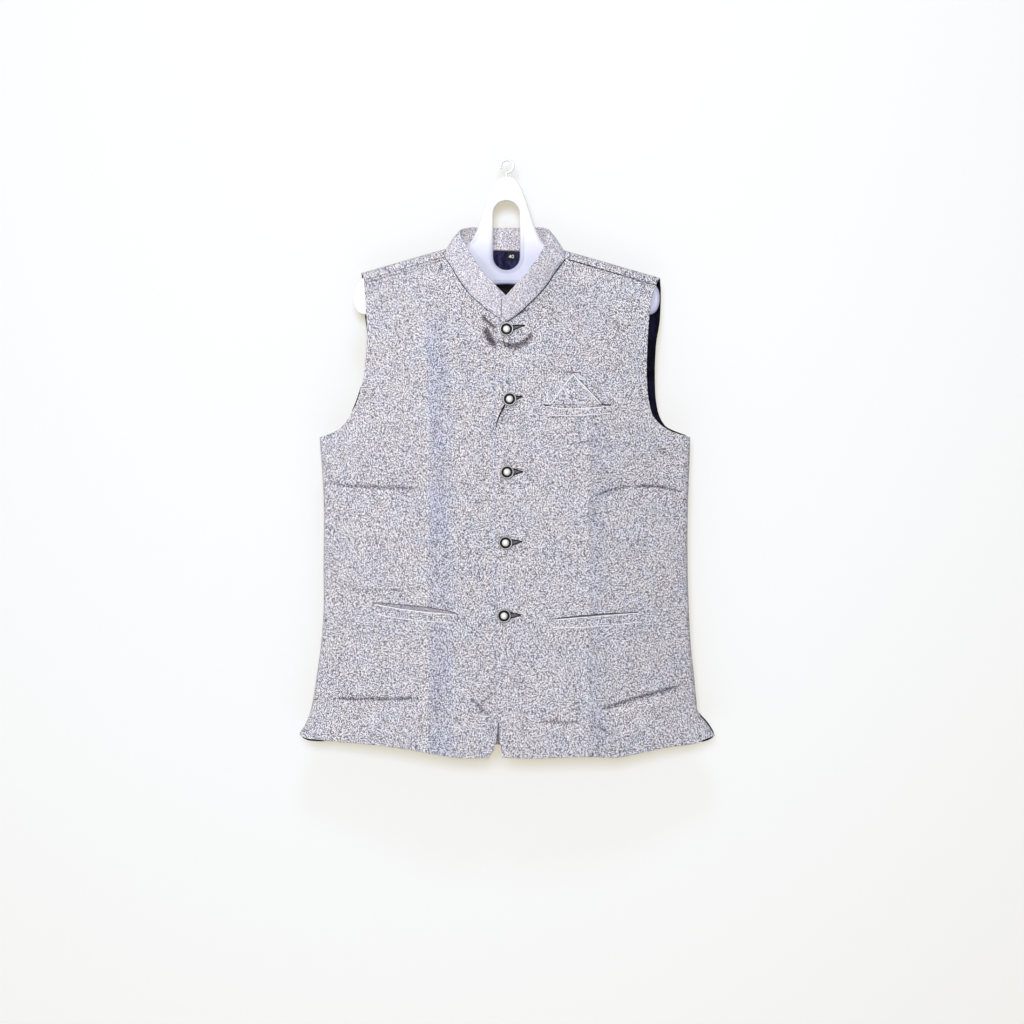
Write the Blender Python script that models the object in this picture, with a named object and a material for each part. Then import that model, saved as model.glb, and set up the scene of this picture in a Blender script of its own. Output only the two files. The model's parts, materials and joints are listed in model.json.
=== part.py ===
"""Nehru jacket on a hanger: a sleeveless, stand-collared front-buttoned jacket of grey tweed.

+X runs to the wearer's left, the front faces -Y and +Z is up. The origin is the point where the
hanger's hook bears on whatever holds it. A "drop" is a distance below the origin. Sizes are in
millimetres until MM turns them into metres.

Every cloth piece is a wall between two offsets of one surface. The fronts lie on front_place(x, drop),
the back and the shoulders on back_place(x, way), where way is the distance travelled from the
shoulder's ridge, forwards when negative and down the back when positive.
"""
import math

import bmesh
import bpy
import numpy as np
from mathutils import Vector
from mathutils.bvhtree import BVHTree
from mathutils.geometry import tessellate_polygon

MM = 0.001

# Walls and the gaps between pieces
CLOTH = 2.0
LINING = 1.0
COLLAR = 2.6
WELT = 1.4
SQUARE = 1.2
LABEL = 0.5
GAP = 0.3

# The shoulder's top is half an ellipse over the hanger
TOP_HEIGHT = 13.0
TOP_HALF = 9.0
TOP_WAY = 17.4
FALL_FRONT = 140.0
FALL_BACK = 150.0
RIDGE_CENTRE = 98.0
RIDGE_SLOPE = 0.296
RIDGE_ROUND = 30.0
RIDGE_TILT = 2.0
RIDGE_TILT_WIDTH = 50.0

# The cross-section: a flat bag whose two sides roll round
EDGE_ROLL = 7.0
BAG_POWER = 2.6
BAG_FULLNESS = 1.2
VENT_TOP = 757.0
VENT_LENGTH = 50.0
VENT_SPREAD = 3.5

# The neck stands away from the hanger at the back
NECK_HALF_RIGHT = 87.4
NECK_HALF_LEFT = 81.4
NECK_STAND = 33.0
NECK_STAND_HALF = 90.0
NECK_STAND_DROP = 117.0
NECK_STAND_REACH = 90.0

# Round the front neckline the cloth swells sooner
FRONT_STAND = 16.0
FRONT_STAND_HALF = 95.0
FRONT_STAND_DROP = 165.0
FRONT_STAND_REACH = 55.0
FRONT_STAND_FALL = 40.0

# The right front runs under the left one at the centre
LAP_STEP = 3.4
LAP_NEAR = 6.0
LAP_FAR = 20.0

# drop, half width at the wearer's right, at the wearer's left, depth of the front, of the back
BODY = (
    (90, 246, 242, 36, 27),
    (231, 254, 249, 41, 30),
    (330, 261, 255, 42, 30),
    (388, 263.1, 257.0, 42, 29),
    (420, 260.6, 256.2, 41, 28),
    (476, 257.4, 254.0, 39, 27),
    (570, 257.6, 253.4, 39, 26),
    (630, 257.5, 255.2, 40, 26),
    (682, 261.6, 258.0, 41, 26),
    (720, 267.0, 262.2, 41, 26),
    (757, 272.8, 265.8, 42, 26),
    (774, 276.6, 268.4, 42, 26),
    (790, 282.4, 281.0, 42, 26),
    (805, 290.8, 290.2, 42, 26),
    (835, 294.0, 293.0, 42, 26),
)

# Outlines of the fronts, x and drop. The first point of a neckline or armhole is on the shoulder
# seam, which sets its drop.
NECKLINE_RIGHT = ((-87.4, 136.7), (-79.2, 148.6), (-66.4, 171.6), (-48.4, 195.4),
                  (-34.2, 208.5), (-21.9, 218.6), (-9.5, 226.9), (3.0, 233.0))
NECKLINE_LEFT = ((81.4, 140.1), (75.5, 147.4), (66.3, 160.3), (57.3, 175.6),
                 (46.6, 189.8), (30.7, 206.7), (13.1, 223.0), (1.4, 231.3))
NECK_CORNER_RIGHT = (13.0, 237.0)
NECK_CORNER_LEFT = (-7.8, 223.4)
FRONT_EDGE_RIGHT = ((13.0, 237), (13.8, 262), (13.8, 450), (13.8, 641), (8, 700), (-6, 760),
                    (-12.3, 787.5), (-14.8, 807), (-19, 822), (-26, 831))
FRONT_EDGE_LEFT = ((-7.8, 223.4), (-13, 243.5), (-14.6, 264), (-15.2, 379), (-15, 476),
                   (-14.3, 613), (-14.2, 706), (-10.9, 784), (-9.5, 812), (-6.8, 829.8))
ARMHOLE_RIGHT = ((-200.0, 170.4), (-197.5, 203), (-194.8, 243), (-196.5, 282), (-201.5, 317),
                 (-211.5, 346), (-220.5, 362), (-233.3, 376.5), (-249, 383.7), (-263.1, 388))
ARMHOLE_LEFT = ((208.4, 177.0), (203.1, 187.3), (199.7, 208.5), (196.0, 250.3), (194.2, 281),
                (194.2, 311.6), (196.7, 338), (203.0, 360), (211.5, 369.5), (223.1, 377),
                (240, 383.6), (257.0, 388))
HEM_RIGHT = ((-290.8, 804.5), (-283.2, 809), (-251.9, 811), (-200.2, 813.6), (-142.1, 819),
             (-104.9, 825), (-71.7, 830.2), (-26, 831))
HEM_LEFT = ((290.2, 806), (262.4, 815), (220.2, 819.5), (178.8, 827), (148.1, 831.3),
            (117.6, 829.5), (37, 831), (-6.8, 829.8))

# Outlines of the back, with the shoulder tip on the ridge first
SHOULDER_TIP_RIGHT = (-200.0, -205.2)
SHOULDER_TIP_LEFT = (208.4, 215.6)
BACK_ARMHOLE_RIGHT = ((-204.5, 191), (-201, 215), (-197.5, 245), (-198, 282), (-204.5, 317),
                      (-214.5, 346), (-223.5, 362), (-236, 376), (-250, 383.5), (-263.1, 388))
BACK_ARMHOLE_LEFT = ((216.7, 196), (215.3, 224.7), (211.3, 250), (209.5, 280), (209.5, 308),
                     (211.5, 338.6), (217, 361), (227, 375), (241, 383), (257.0, 388))
BACK_HEM = ((-292.5, 805.5), (-283, 810), (-200, 816), (-100, 822), (0, 824),
            (100, 823), (200, 819), (262, 815), (292.5, 807.5))

# The back neckline: fraction of the neck's half width, way down behind the ridge
BACK_NECKLINE = ((0.0, 15.2), (0.23, 14.0), (0.44, 11.8), (0.63, 9.2),
                 (0.78, 6.7), (0.90, 4.6), (0.96, 3.1))

# The collar's top edge: place along the neck seam, from 0 at the centre back to -1 and 1 at the ends
# at the wearer's right and left, then x, y and drop
COLLAR_TOP = (
    (-1.00, 9.5, -36.6, 205.0),
    (-0.92, 2.5, -36.7, 198.5),
    (-0.85, -8.8, -37.2, 187.5),
    (-0.77, -20.4, -37.0, 175.7),
    (-0.69, -30.8, -34.5, 164.8),
    (-0.61, -40.3, -30.5, 152.3),
    (-0.53, -50.0, -23.5, 135.5),
    (-0.455, -61.5, -13.0, 113.0),
    (-0.41, -66.5, -5.0, 100.5),
    (-0.36, -65.5, 4.5, 94.3),
    (-0.295, -57.5, 12.8, 90.5),
    (-0.20, -41.6, 24.0, 87.2),
    (-0.10, -21.2, 33.2, 85.8),
    (0.0, -0.5, 37.0, 85.4),
    (0.10, 20.2, 33.2, 85.9),
    (0.20, 38.8, 23.8, 87.2),
    (0.285, 51.8, 13.4, 89.8),
    (0.345, 58.4, 4.5, 94.0),
    (0.395, 58.4, -4.5, 99.6),
    (0.445, 54.6, -12.5, 115.5),
    (0.52, 44.5, -23.5, 138.0),
    (0.59, 34.5, -30.0, 152.5),
    (0.66, 26.0, -34.0, 164.6),
    (0.735, 17.0, -37.0, 174.6),
    (0.81, 8.5, -39.2, 184.0),
    (0.88, 1.2, -40.2, 192.6),
    (0.95, -4.4, -40.4, 197.4),
    (1.00, -7.5, -40.4, 199.0),
)
COLLAR_SEAM = 0.4
COLLAR_ROWS = 3
COLLAR_BOW = 1.2

# Long folds pressed into the fronts: x, drop where each starts and ends, height, half width
FOLDS = (
    (-106.0, 190, 860, 2.2, 34),
    (111.0, 330, 860, 2.0, 32),
)
FOLD_FADE = 60.0

# Column places across a front, as fractions: front edge to fold, then fold to side
EDGE_TO_FOLD_RIGHT = (0, 0.15, 0.26, 0.37, 0.57, 0.78, 0.91, 1)
EDGE_TO_FOLD_LEFT = (0, 0.12, 0.3, 0.5, 0.7, 0.88, 1)
FOLD_TO_SIDE = (0.07, 0.185, 0.375, 0.6, 0.79, 0.9, 0.965, 0.992, 1)
NECK_STEPS = 7
EDGE_STEPS = 13
EDGE_CROWDING = 0.45
CORNER_SAG = 12.0
ARM_STEPS = 9
ROW_BEND = 0.65
ROW_BEND_REACH = 7.0

# Rows and columns of the back
STRAP_WAYS = (-17.2, -12.0, -7.0, -2.0, 3.1, 8.0, 12.7, 17.4)
NECK_ROW = 4
ACROSS_NECK = tuple(row[0] for row in BACK_NECKLINE)
ACROSS_STRAP = (0.15, 0.32, 0.5, 0.68, 0.84, 0.94, 1)
ACROSS_BODY = (0, 0.09, 0.18, 0.27, 0.36, 0.45, 0.54, 0.64, 0.74, 0.84, 0.92, 0.972, 0.993, 1)
BACK_ARM_STEPS = 7
BACK_SIDE_STEPS = 10
BACK_TOP_DROP = 140.0
LINING_COLUMNS_BEFORE_FOLD = 1

# Buttons: x and drop of each centre
BUTTONS = ((-0.6, 242.4), (3.5, 338.1), (0.1, 438.0), (-2.0, 535.1), (-4.0, 635.0))
BUTTON_PROFILE = ((0.0, 0.0), (4.0, 0.0), (4.2, 1.2), (9.0, 1.4), (9.7, 2.0), (9.6, 3.0),
                  (8.6, 3.7), (7.3, 3.4), (6.5, 3.4), (5.4, 4.6), (3.0, 5.6), (0.0, 6.0))
BUTTON_SIDES = 20

# Pocket welts: top and bottom edge as x and drop, front edge end first
CHEST_WELT = (((52.8, 347.0), (68.5, 350.0), (106.9, 350.0), (140.1, 346.6)),
              ((54.8, 361.0), (92.4, 361.6), (143.8, 358.6)))
HIP_WELT_RIGHT = (((-68.9, 631.4), (-110, 628.6), (-150, 624.4), (-188.2, 619.6)),
                  ((-69.9, 643.5), (-128, 638.0), (-188.2, 631.5)))
HIP_WELT_LEFT = (((62.0, 638.2), (105, 637.0), (145, 635.0), (182.8, 632.5)),
                 ((60.3, 650.3), (120, 648.6), (184.7, 645.0)))
WELT_COLUMNS = 10
SQUARE_APEX = (89.9, 304.4)
SQUARE_BASE = ((59.2, 345.4), (128.8, 345.6))
SQUARE_ROWS = 5
SQUARE_COLUMNS = 6
SQUARE_TIP = 0.02

# Where a search for a panel's facets starts and ends
IN_FRONT = -200.0
BEHIND = 100.0

# Labels inside the back neck: x from, x to, drop from, drop to
NECK_LABEL = (-32.0, 30.0, 170.0, 208.0)
SIZE_TAG = (-0.3, 12.3, 121.0, 131.6)

# The hanger: a flat moulded board with a hump, a slot and wide arms
BOARD_X = -0.8
BOARD_HALF = 3.5
BOARD_BEVEL = 2.2
BOARD_HUMP = ((0, 22.0), (9, 23.6), (17, 31.0), (23, 43.0), (32, 70.0), (41, 96.0), (49, 112.0))
BOARD_ARM_FROM = 62.0
BOARD_ARM_TO = 199.0
BOARD_UNDER_RIDGE = 4.8
BOARD_END = ((207.5, 170.5), (213.2, 180.0), (215.2, 192.0), (213.6, 204.0), (208.0, 213.4),
             (199.0, 216.6))
BOARD_BOTTOM = ((199.0, 216.6), (150, 205.4), (100, 193.0), (50, 180.4), (20, 174.2), (0, 172.8))
BOARD_STEPS = 7
SLOT_HALF = 18.6
SLOT_TOP = 56.0
SLOT_BOTTOM = 153.0
SLOT_SIDES = 10

# The hook: steel wire, bearing on its inner top
WIRE_RADIUS = 1.8
HOOK_INNER = 7.0
HOOK_TIP_ANGLE = 205
HOOK_STEPS = 20
HOOK_FOOT = 21.7

# Colour, roughness and metallic value of each material
FINISHES = {
    "grey_tweed": ((0.56, 0.56, 0.61), 0.85, 0.0),
    "satin_lining": ((0.035, 0.034, 0.078), 0.4, 0.0),
    "white_plastic": ((0.80, 0.81, 0.88), 0.3, 0.0),
    "hook_steel": ((0.60, 0.60, 0.60), 0.25, 1.0),
    "button_metal": ((0.70, 0.70, 0.72), 0.25, 0.9),
    "label_black": ((0.01, 0.01, 0.012), 0.6, 0.0),
}


def ease(t):
    """Smooth step from 0 to 1."""
    t = np.clip(t, 0.0, 1.0)
    return t * t * (3.0 - 2.0 * t)


def along(rows, at):
    """Values of a table's other columns where its first column is `at`: a cubic through the rows."""
    table = np.array(rows, float)
    key, value = table[:, 0], table[:, 1:]
    slope = np.gradient(value, key, axis=0)
    at = np.asarray(at, float)
    i = np.clip(np.searchsorted(key, at) - 1, 0, len(key) - 2)
    step = (key[i + 1] - key[i])[..., None]
    t = np.clip((at - key[i])[..., None] / step, 0.0, 1.0)
    start = (1 + 2 * t) * (1 - t) ** 2 * value[i] + t * (1 - t) ** 2 * step * slope[i]
    end = t * t * (3 - 2 * t) * value[i + 1] + t * t * (t - 1) * step * slope[i + 1]
    return start + end


def trace(points, steps, crowding=0.0):
    """steps + 1 points along a smooth curve through the given ones, crowded towards both ends."""
    points = np.array(points, float)
    way = np.append(0.0, np.cumsum(np.linalg.norm(np.diff(points, axis=0), axis=1)))
    share = np.linspace(0.0, 1.0, steps + 1)
    share = share - crowding * np.sin(2 * math.pi * share) / (2 * math.pi)
    return along(np.column_stack((way, points)), share * way[-1])


def ridge(x):
    """Drop of the shoulder's ridge: two slopes, rounded into each other, tilted a little."""
    slopes = RIDGE_SLOPE * np.sqrt(x * x + RIDGE_ROUND ** 2)
    return RIDGE_CENTRE + RIDGE_TILT * np.tanh(x / RIDGE_TILT_WIDTH) + slopes


def seam_drop(x):
    """Drop of the forward shoulder seam on the fronts."""
    return ridge(x) + TOP_HEIGHT + GAP / 2


def bag(x, drop, depth_column):
    """Depth of a flat bag: (1 - r^2.6)^1.2 plus a rolled edge, where r = x / half width."""
    body = along(BODY, drop)
    half = np.where(x < 0, body[..., 0], body[..., 1])
    r = np.clip(np.abs(x) / half, 0.0, 1.0)
    flat = (1.0 - r ** BAG_POWER) ** BAG_FULLNESS
    roll = np.sqrt(np.clip(1.0 - r ** (2.0 * half / EDGE_ROLL), 0.0, 1.0))
    depth = body[..., depth_column]
    vent = VENT_SPREAD * ease((drop - VENT_TOP) / VENT_LENGTH) * r ** 6
    return (depth - EDGE_ROLL) * flat + EDGE_ROLL * roll + vent


def folds(x, drop):
    """Height of the pressed folds: a ridge whose sides flatten out, faded in at both ends."""
    height = np.zeros(np.shape(x))
    for centre, start, end, rise, half in FOLDS:
        side = np.clip(1.0 - np.abs(x - centre) / half, 0.0, 1.0) ** 2
        height = height + rise * side * ease((drop - start) / FOLD_FADE) * ease((end - drop) / FOLD_FADE)
    return height


def lap(x, drop):
    """How far the right front steps back to pass under the left one's edge."""
    edge = np.array(FRONT_EDGE_LEFT, float)
    edge_x = along(edge[:, ::-1], drop)[..., 0]
    return LAP_STEP * ease((x - edge_x + LAP_FAR) / (LAP_FAR - LAP_NEAR))


def front_place(x, drop, under=False):
    """The fronts: from the shoulder's front they swell out to the bag's depth."""
    fall = drop - ridge(x) - TOP_HEIGHT
    swell = ease(fall / FALL_FRONT)
    depth = TOP_HALF + (bag(x, drop, 2) - TOP_HALF) * swell + folds(x, drop)
    stand = FRONT_STAND * np.clip(1.0 - (x / FRONT_STAND_HALF) ** 2, 0.0, 1.0) ** 1.5
    reach = np.exp(-((drop - FRONT_STAND_DROP) / FRONT_STAND_REACH) ** 2)
    depth = depth + stand * reach * ease(fall / FRONT_STAND_FALL)
    if under:
        depth = depth - lap(x, drop)
    return np.stack((x, -np.maximum(depth, GAP / 2), -drop), axis=-1)


def back_place(x, way):
    """The back: half an ellipse over the ridge, then down, standing away behind the neck."""
    angle = np.clip(way / TOP_WAY, -1.0, 1.0) * math.pi / 2
    fall = np.maximum(way - TOP_WAY, 0.0)
    drop = ridge(x) + TOP_HEIGHT * (1.0 - np.cos(angle)) + fall
    swell = ease(fall / FALL_BACK)
    depth = TOP_HALF * np.sin(angle) + (bag(x, drop, 3) - TOP_HALF) * swell
    stand = NECK_STAND * np.clip(1.0 - (x / NECK_STAND_HALF) ** 2, 0.0, 1.0) ** 1.5
    reach = np.exp(-((drop - NECK_STAND_DROP) / NECK_STAND_REACH) ** 2)
    depth = depth + stand * reach * ease(angle / math.radians(25))
    depth = np.where(way > TOP_WAY, np.maximum(depth, GAP / 2), depth)
    return np.stack((x, depth, -drop), axis=-1)


def normals(place, x, other, faces_back):
    """Outward normals of a surface, from one-sided differences towards the middle and downwards."""
    step = 0.2
    inward = np.where(x < 0, step, -step)
    across = (place(x + inward, other) - place(x, other)) / inward[..., None]
    down = (place(x, other + step) - place(x, other)) / step
    normal = np.cross(across, down)
    normal = normal / np.linalg.norm(normal, axis=-1, keepdims=True)
    return normal if faces_back else -normal


def front_grid(neckline, corner, front_edge, armhole, side_x, hem, fold_x, edge_to_fold):
    """x and drop of a front's grid: rows from its inner to its outer outline, level at the underarm."""
    neck = trace(neckline, NECK_STEPS)
    neck[0, 1] = seam_drop(neck[0, 0])
    edge = trace(front_edge, EDGE_STEPS, EDGE_CROWDING)
    edge[0] = corner
    inner = np.vstack((neck, edge))
    rows = len(inner)
    arm = trace(armhole, ARM_STEPS)
    arm[0, 1] = seam_drop(arm[0, 0])
    side_drop = np.linspace(arm[-1, 1], hem[0][1], rows - ARM_STEPS)[1:]
    outer = np.vstack((arm, np.column_stack((side_x(side_drop), side_drop))))
    fold = np.full(rows, fold_x)
    first = inner[:, :1] + (fold - inner[:, 0])[:, None] * np.array(edge_to_fold)
    second = fold[:, None] + (outer[:, 0] - fold)[:, None] * np.array(FOLD_TO_SIDE)
    x = np.hstack((first, second))
    share = (x - inner[:, :1]) / (outer[:, :1] - inner[:, :1])
    row = np.arange(rows)[:, None]
    bend = ROW_BEND * np.clip(1 - np.abs(row - ARM_STEPS) / ROW_BEND_REACH, 0, 1)
    drop = inner[:, 1:] + (outer[:, 1:] - inner[:, 1:]) * (share + bend * share * (1 - share))
    to_seam = seam_drop(x[0]) - drop[0]
    drop = drop + to_seam * np.clip(1 - row / NECK_STEPS, 0, 1) ** 2
    if corner[1] < neck[-1, 1]:
        drop[NECK_STEPS + 1, 1:] += CORNER_SAG * (1 - share[NECK_STEPS + 1, 1:])
    hem = np.array(hem, float)
    hem = hem[np.argsort(hem[:, 0])]
    to_hem = along(hem, x[-1])[:, 0] - drop[-1]
    drop = drop + to_hem * np.clip((row - ARM_STEPS) / (rows - 1 - ARM_STEPS), 0, 1) ** 2
    return x, drop


def back_grid():
    """x and way of the back's grid, and which of its cells exist: none in the neck opening."""
    strap = np.array(STRAP_WAYS)
    rows = len(strap) + BACK_ARM_STEPS + BACK_SIDE_STEPS
    halves_x, halves_way = [], []
    sides = ((-1, NECK_HALF_RIGHT, SHOULDER_TIP_RIGHT, BACK_ARMHOLE_RIGHT, 0),
             (1, NECK_HALF_LEFT, SHOULDER_TIP_LEFT, BACK_ARMHOLE_LEFT, 1))
    for sign, neck_half, tip, armhole, column in sides:
        arm = trace(armhole, BACK_ARM_STEPS)
        hem_end = BACK_HEM[0] if sign < 0 else BACK_HEM[-1]
        side_drop = np.linspace(arm[-1, 1], hem_end[1], BACK_SIDE_STEPS + 1)[1:]
        side_half = along(BODY, side_drop)[:, column]
        side_half[-1] = abs(hem_end[0])
        tip_x = np.interp(strap, (strap[0], 0.0, strap[-1]), (tip[0], tip[1], arm[0, 0]))
        outer_x = np.concatenate((tip_x, arm[:, 0], sign * side_half))
        outer_drop = np.concatenate((arm[:, 1], side_drop))
        centre_drop = np.linspace(BACK_TOP_DROP, BACK_HEM[4][1], len(outer_drop))
        rounding = 1 - 0.04 * np.clip(np.arange(rows + 1) / NECK_ROW, 0, 1) ** 1.5
        neck_x = sign * neck_half * rounding
        top = np.array(ACROSS_NECK) / ACROSS_NECK[-1]
        top_x = neck_x[:, None] * top
        strap_x = neck_x[:, None] + (outer_x - neck_x)[:, None] * np.array(ACROSS_STRAP)
        top_x = np.hstack((top_x, strap_x))
        body_x = outer_x[:, None] * np.array(ACROSS_BODY)
        blend = ease((np.arange(rows + 1) - NECK_ROW) / (len(strap) - NECK_ROW))[:, None]
        x = top_x + (body_x - top_x) * blend
        drop = centre_drop[:, None] + (outer_drop - centre_drop)[:, None] * np.array(ACROSS_BODY)
        row = np.arange(len(outer_drop))[:, None]
        to_hem = along(BACK_HEM, x[-1])[:, 0] - drop[-1]
        drop = drop + to_hem * np.clip(row / (len(outer_drop) - 1), 0, 1) ** 4
        below = drop - ridge(x[len(strap):]) - TOP_HEIGHT + TOP_WAY
        way = np.vstack((np.repeat(strap[:, None], x.shape[1], axis=1), below))
        neckline = np.array(BACK_NECKLINE)[:, 1]
        for j in range(NECK_ROW, len(strap)):
            share = (j - NECK_ROW) / (len(strap) - NECK_ROW)
            way[j, :len(neckline)] = neckline + (below[0, :len(neckline)] - neckline) * share
        halves_x.append(x)
        halves_way.append(way)
    x = np.hstack((halves_x[0][:, :0:-1], halves_x[1]))
    way = np.hstack((halves_way[0][:, :0:-1], halves_way[1]))
    keep = np.ones((x.shape[0] - 1, x.shape[1] - 1), bool)
    middle = x.shape[1] // 2
    reach = len(ACROSS_NECK) - 1
    keep[:NECK_ROW, middle - reach:middle + reach] = False
    return x, way, keep


def material(name):
    """The named Principled material, made once."""
    if name in bpy.data.materials:
        return bpy.data.materials[name]
    colour, roughness, metallic = FINISHES[name]
    made = bpy.data.materials.new(name)
    made.use_nodes = True
    shader = made.node_tree.nodes["Principled BSDF"]
    shader.inputs["Base Color"].default_value = (*colour, 1.0)
    shader.inputs["Roughness"].default_value = roughness
    shader.inputs["Metallic"].default_value = metallic
    return made


def solid(name, points, faces, finish):
    """An object from points in millimetres and faces, turned to point outwards."""
    used = sorted({i for face in faces for i in face})
    slot = {old: new for new, old in enumerate(used)}
    mesh = bpy.data.meshes.new(name)
    mesh.from_pydata([tuple(points[i] * MM) for i in used], [],
                     [tuple(slot[i] for i in face) for face in faces])
    shape = bmesh.new()
    shape.from_mesh(mesh)
    bmesh.ops.recalc_face_normals(shape, faces=shape.faces)
    shape.to_mesh(mesh)
    shape.free()
    mesh.materials.append(material(finish))
    mesh.shade_smooth()
    mesh.set_sharp_from_angle(angle=math.radians(40))
    made = bpy.data.objects.new(name, mesh)
    bpy.context.scene.collection.objects.link(made)
    return made


def facets(piece):
    """A search tree of a piece's own facets, in millimetres."""
    points = [vertex.co / MM for vertex in piece.data.vertices]
    return BVHTree.FromPolygons(points, [tuple(face.vertices) for face in piece.data.polygons])


def seated(points, tree, start_y):
    """Points moved forwards onto the facets met from start_y, where those stand further out."""
    flat = points.reshape(-1, 3).copy()
    for point in flat:
        hit = tree.ray_cast(Vector((point[0], start_y, point[2])), Vector((0.0, 1.0, 0.0)))[0]
        if hit is not None:
            point[1] = min(point[1], hit.y)
    return flat.reshape(points.shape)


def wall(name, outer, inner, finish, keep=None):
    """A closed wall between two grids of the same shape, with a strip round its open edges.

    Every cell is cut along the same diagonal, so that walls on offsets of one grid stay apart.
    """
    rows, columns = outer.shape[:2]
    if keep is None:
        keep = np.ones((rows - 1, columns - 1), bool)
    number = np.arange(rows * columns).reshape(rows, columns)
    back = rows * columns
    faces = []
    rim = {}
    for j, i in np.argwhere(keep):
        a, b, c, d = (int(v) for v in number[j:j + 2, i:i + 2].ravel()[[0, 1, 3, 2]])
        faces += [(a, b, c), (a, c, d), (a + back, c + back, b + back), (a + back, d + back, c + back)]
        for start, end in ((a, b), (b, c), (c, d), (d, a)):
            key = (min(start, end), max(start, end))
            rim[key] = None if key in rim else (start, end)
    for edge in rim.values():
        if edge:
            a, b = edge
            faces.append((b, a, a + back, b + back))
    points = np.vstack((outer.reshape(-1, 3), inner.reshape(-1, 3)))
    return solid(name, points, faces, finish)


def keep_side(points, sign, rows_from=0):
    """Holds a panel's points on its own side of the side seam."""
    y = points[rows_from:, :, 1]
    points[rows_from:, :, 1] = sign * np.maximum(sign * y, GAP / 2)
    return points


def panel_pair(name, place, normal, sign, rows_from, keep, lining_keep):
    """A cloth panel and the lining that backs it, both walls on offsets of one grid."""
    levels = (0.0, CLOTH, CLOTH + GAP, CLOTH + GAP + LINING)
    layers = [keep_side(place - normal * level, sign, rows_from) for level in levels]
    shell = wall(name, layers[0], layers[1], "grey_tweed", keep)
    lining = wall("lining_" + name, layers[2], layers[3], "satin_lining", lining_keep)
    return shell, lining


def build_front(name, under, neckline, corner, front_edge, armhole, column, hem, fold_x, to_fold):
    """One front and its lining. Returns the front, and its neckline's points and normals."""
    sign = 1 if fold_x > 0 else -1
    x, drop = front_grid(neckline, corner, front_edge, armhole,
                         lambda d: sign * along(BODY, d)[:, column], hem, fold_x, to_fold)

    def place(px, pdrop):
        return front_place(px, pdrop, under)

    points = place(x, drop)
    outward = normals(place, x, drop, False)
    lining_keep = np.ones((x.shape[0] - 1, x.shape[1] - 1), bool)
    lining_keep[:, :len(to_fold) - 1 - LINING_COLUMNS_BEFORE_FOLD] = False
    lining_keep[-1] = False
    shell, _ = panel_pair(name, points, outward, -1, 0, None, lining_keep)
    neck_points = NECK_STEPS + (1 if under else 2)
    return shell, np.stack((points, outward))[:, :neck_points, 0]


def build_back():
    """The back and its lining. Returns the lining, and the neck seam's points and normals."""
    x, way, keep = back_grid()
    points = back_place(x, way)
    outward = normals(back_place, x, way, True)
    lining_keep = keep.copy()
    lining_keep[-1] = False
    _, lining = panel_pair("back", points, outward, 1, len(STRAP_WAYS), keep, lining_keep)
    middle = x.shape[1] // 2
    reach = len(ACROSS_NECK) - 1
    path = [(j, middle - reach) for j in range(NECK_ROW)]
    path += [(NECK_ROW, i) for i in range(middle - reach, middle + reach + 1)]
    path += [(j, middle + reach) for j in reversed(range(NECK_ROW))]
    rows, columns = zip(*path)
    return lining, np.stack((points, outward))[:, rows, columns]


def build_collar(right, back, left):
    """The stand collar: a band from the neck seam up to COLLAR_TOP, its two ends lapped in front.

    Each argument holds the points and the normals of one stretch of the neck seam. The band's lower
    edge lies along those normals, so that it meets the panels face to face.
    """
    base, seam_normal = np.concatenate((right[:, ::-1], back, left), axis=1)
    step = np.linalg.norm(np.diff(base, axis=0), axis=1)
    way = np.append(0.0, np.cumsum(step))
    way = way - way[right.shape[1] + back.shape[1] // 2]
    way = np.where(way < 0, way / -way[0], way / way[-1])
    top = along(COLLAR_TOP, way) * (1.0, 1.0, -1.0)
    up = top - base
    up = up / np.linalg.norm(up, axis=1, keepdims=True)
    base = base + up * COLLAR_SEAM
    levels = np.linspace(0.0, 1.0, COLLAR_ROWS + 1)[:, None, None]
    outer = base + (top - base) * levels
    outward = np.cross(up[None], np.gradient(outer, axis=1))
    outward = outward / np.linalg.norm(outward, axis=2, keepdims=True)
    outer = outer + outward * COLLAR_BOW * np.sin(math.pi * levels)
    outward[0] = seam_normal
    return wall("collar", outer, outer - outward * COLLAR, "grey_tweed")


def laid_on(name, tree, x, drop, thickness):
    """A cloth piece that lies on a front: that front's own points, moved out."""
    points = seated(front_place(x, drop), tree, IN_FRONT)
    outward = normals(front_place, x, drop, False)
    return wall(name, points + outward * (GAP + thickness), points + outward * GAP, "grey_tweed")


def build_welt(name, tree, top_edge, bottom_edge):
    """A pocket welt: a strip between its two edges."""
    top = trace(top_edge, WELT_COLUMNS)
    bottom = trace(bottom_edge, WELT_COLUMNS)
    grid = np.stack((top, bottom))
    return laid_on(name, tree, grid[..., 0], grid[..., 1], WELT)


def build_square(tree):
    """The folded pocket square: a triangle standing out of the chest pocket."""
    share = np.linspace(SQUARE_TIP, 1.0, SQUARE_ROWS + 1)[:, None]
    side = np.linspace(0.0, 1.0, SQUARE_COLUMNS + 1)
    base_x = SQUARE_BASE[0][0] + (SQUARE_BASE[1][0] - SQUARE_BASE[0][0]) * side
    base_drop = SQUARE_BASE[0][1] + (SQUARE_BASE[1][1] - SQUARE_BASE[0][1]) * side
    x = SQUARE_APEX[0] + (base_x - SQUARE_APEX[0]) * share
    drop = SQUARE_APEX[1] + (base_drop - SQUARE_APEX[1]) * share
    return laid_on("pocket_square", tree, x, drop, SQUARE)


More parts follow.
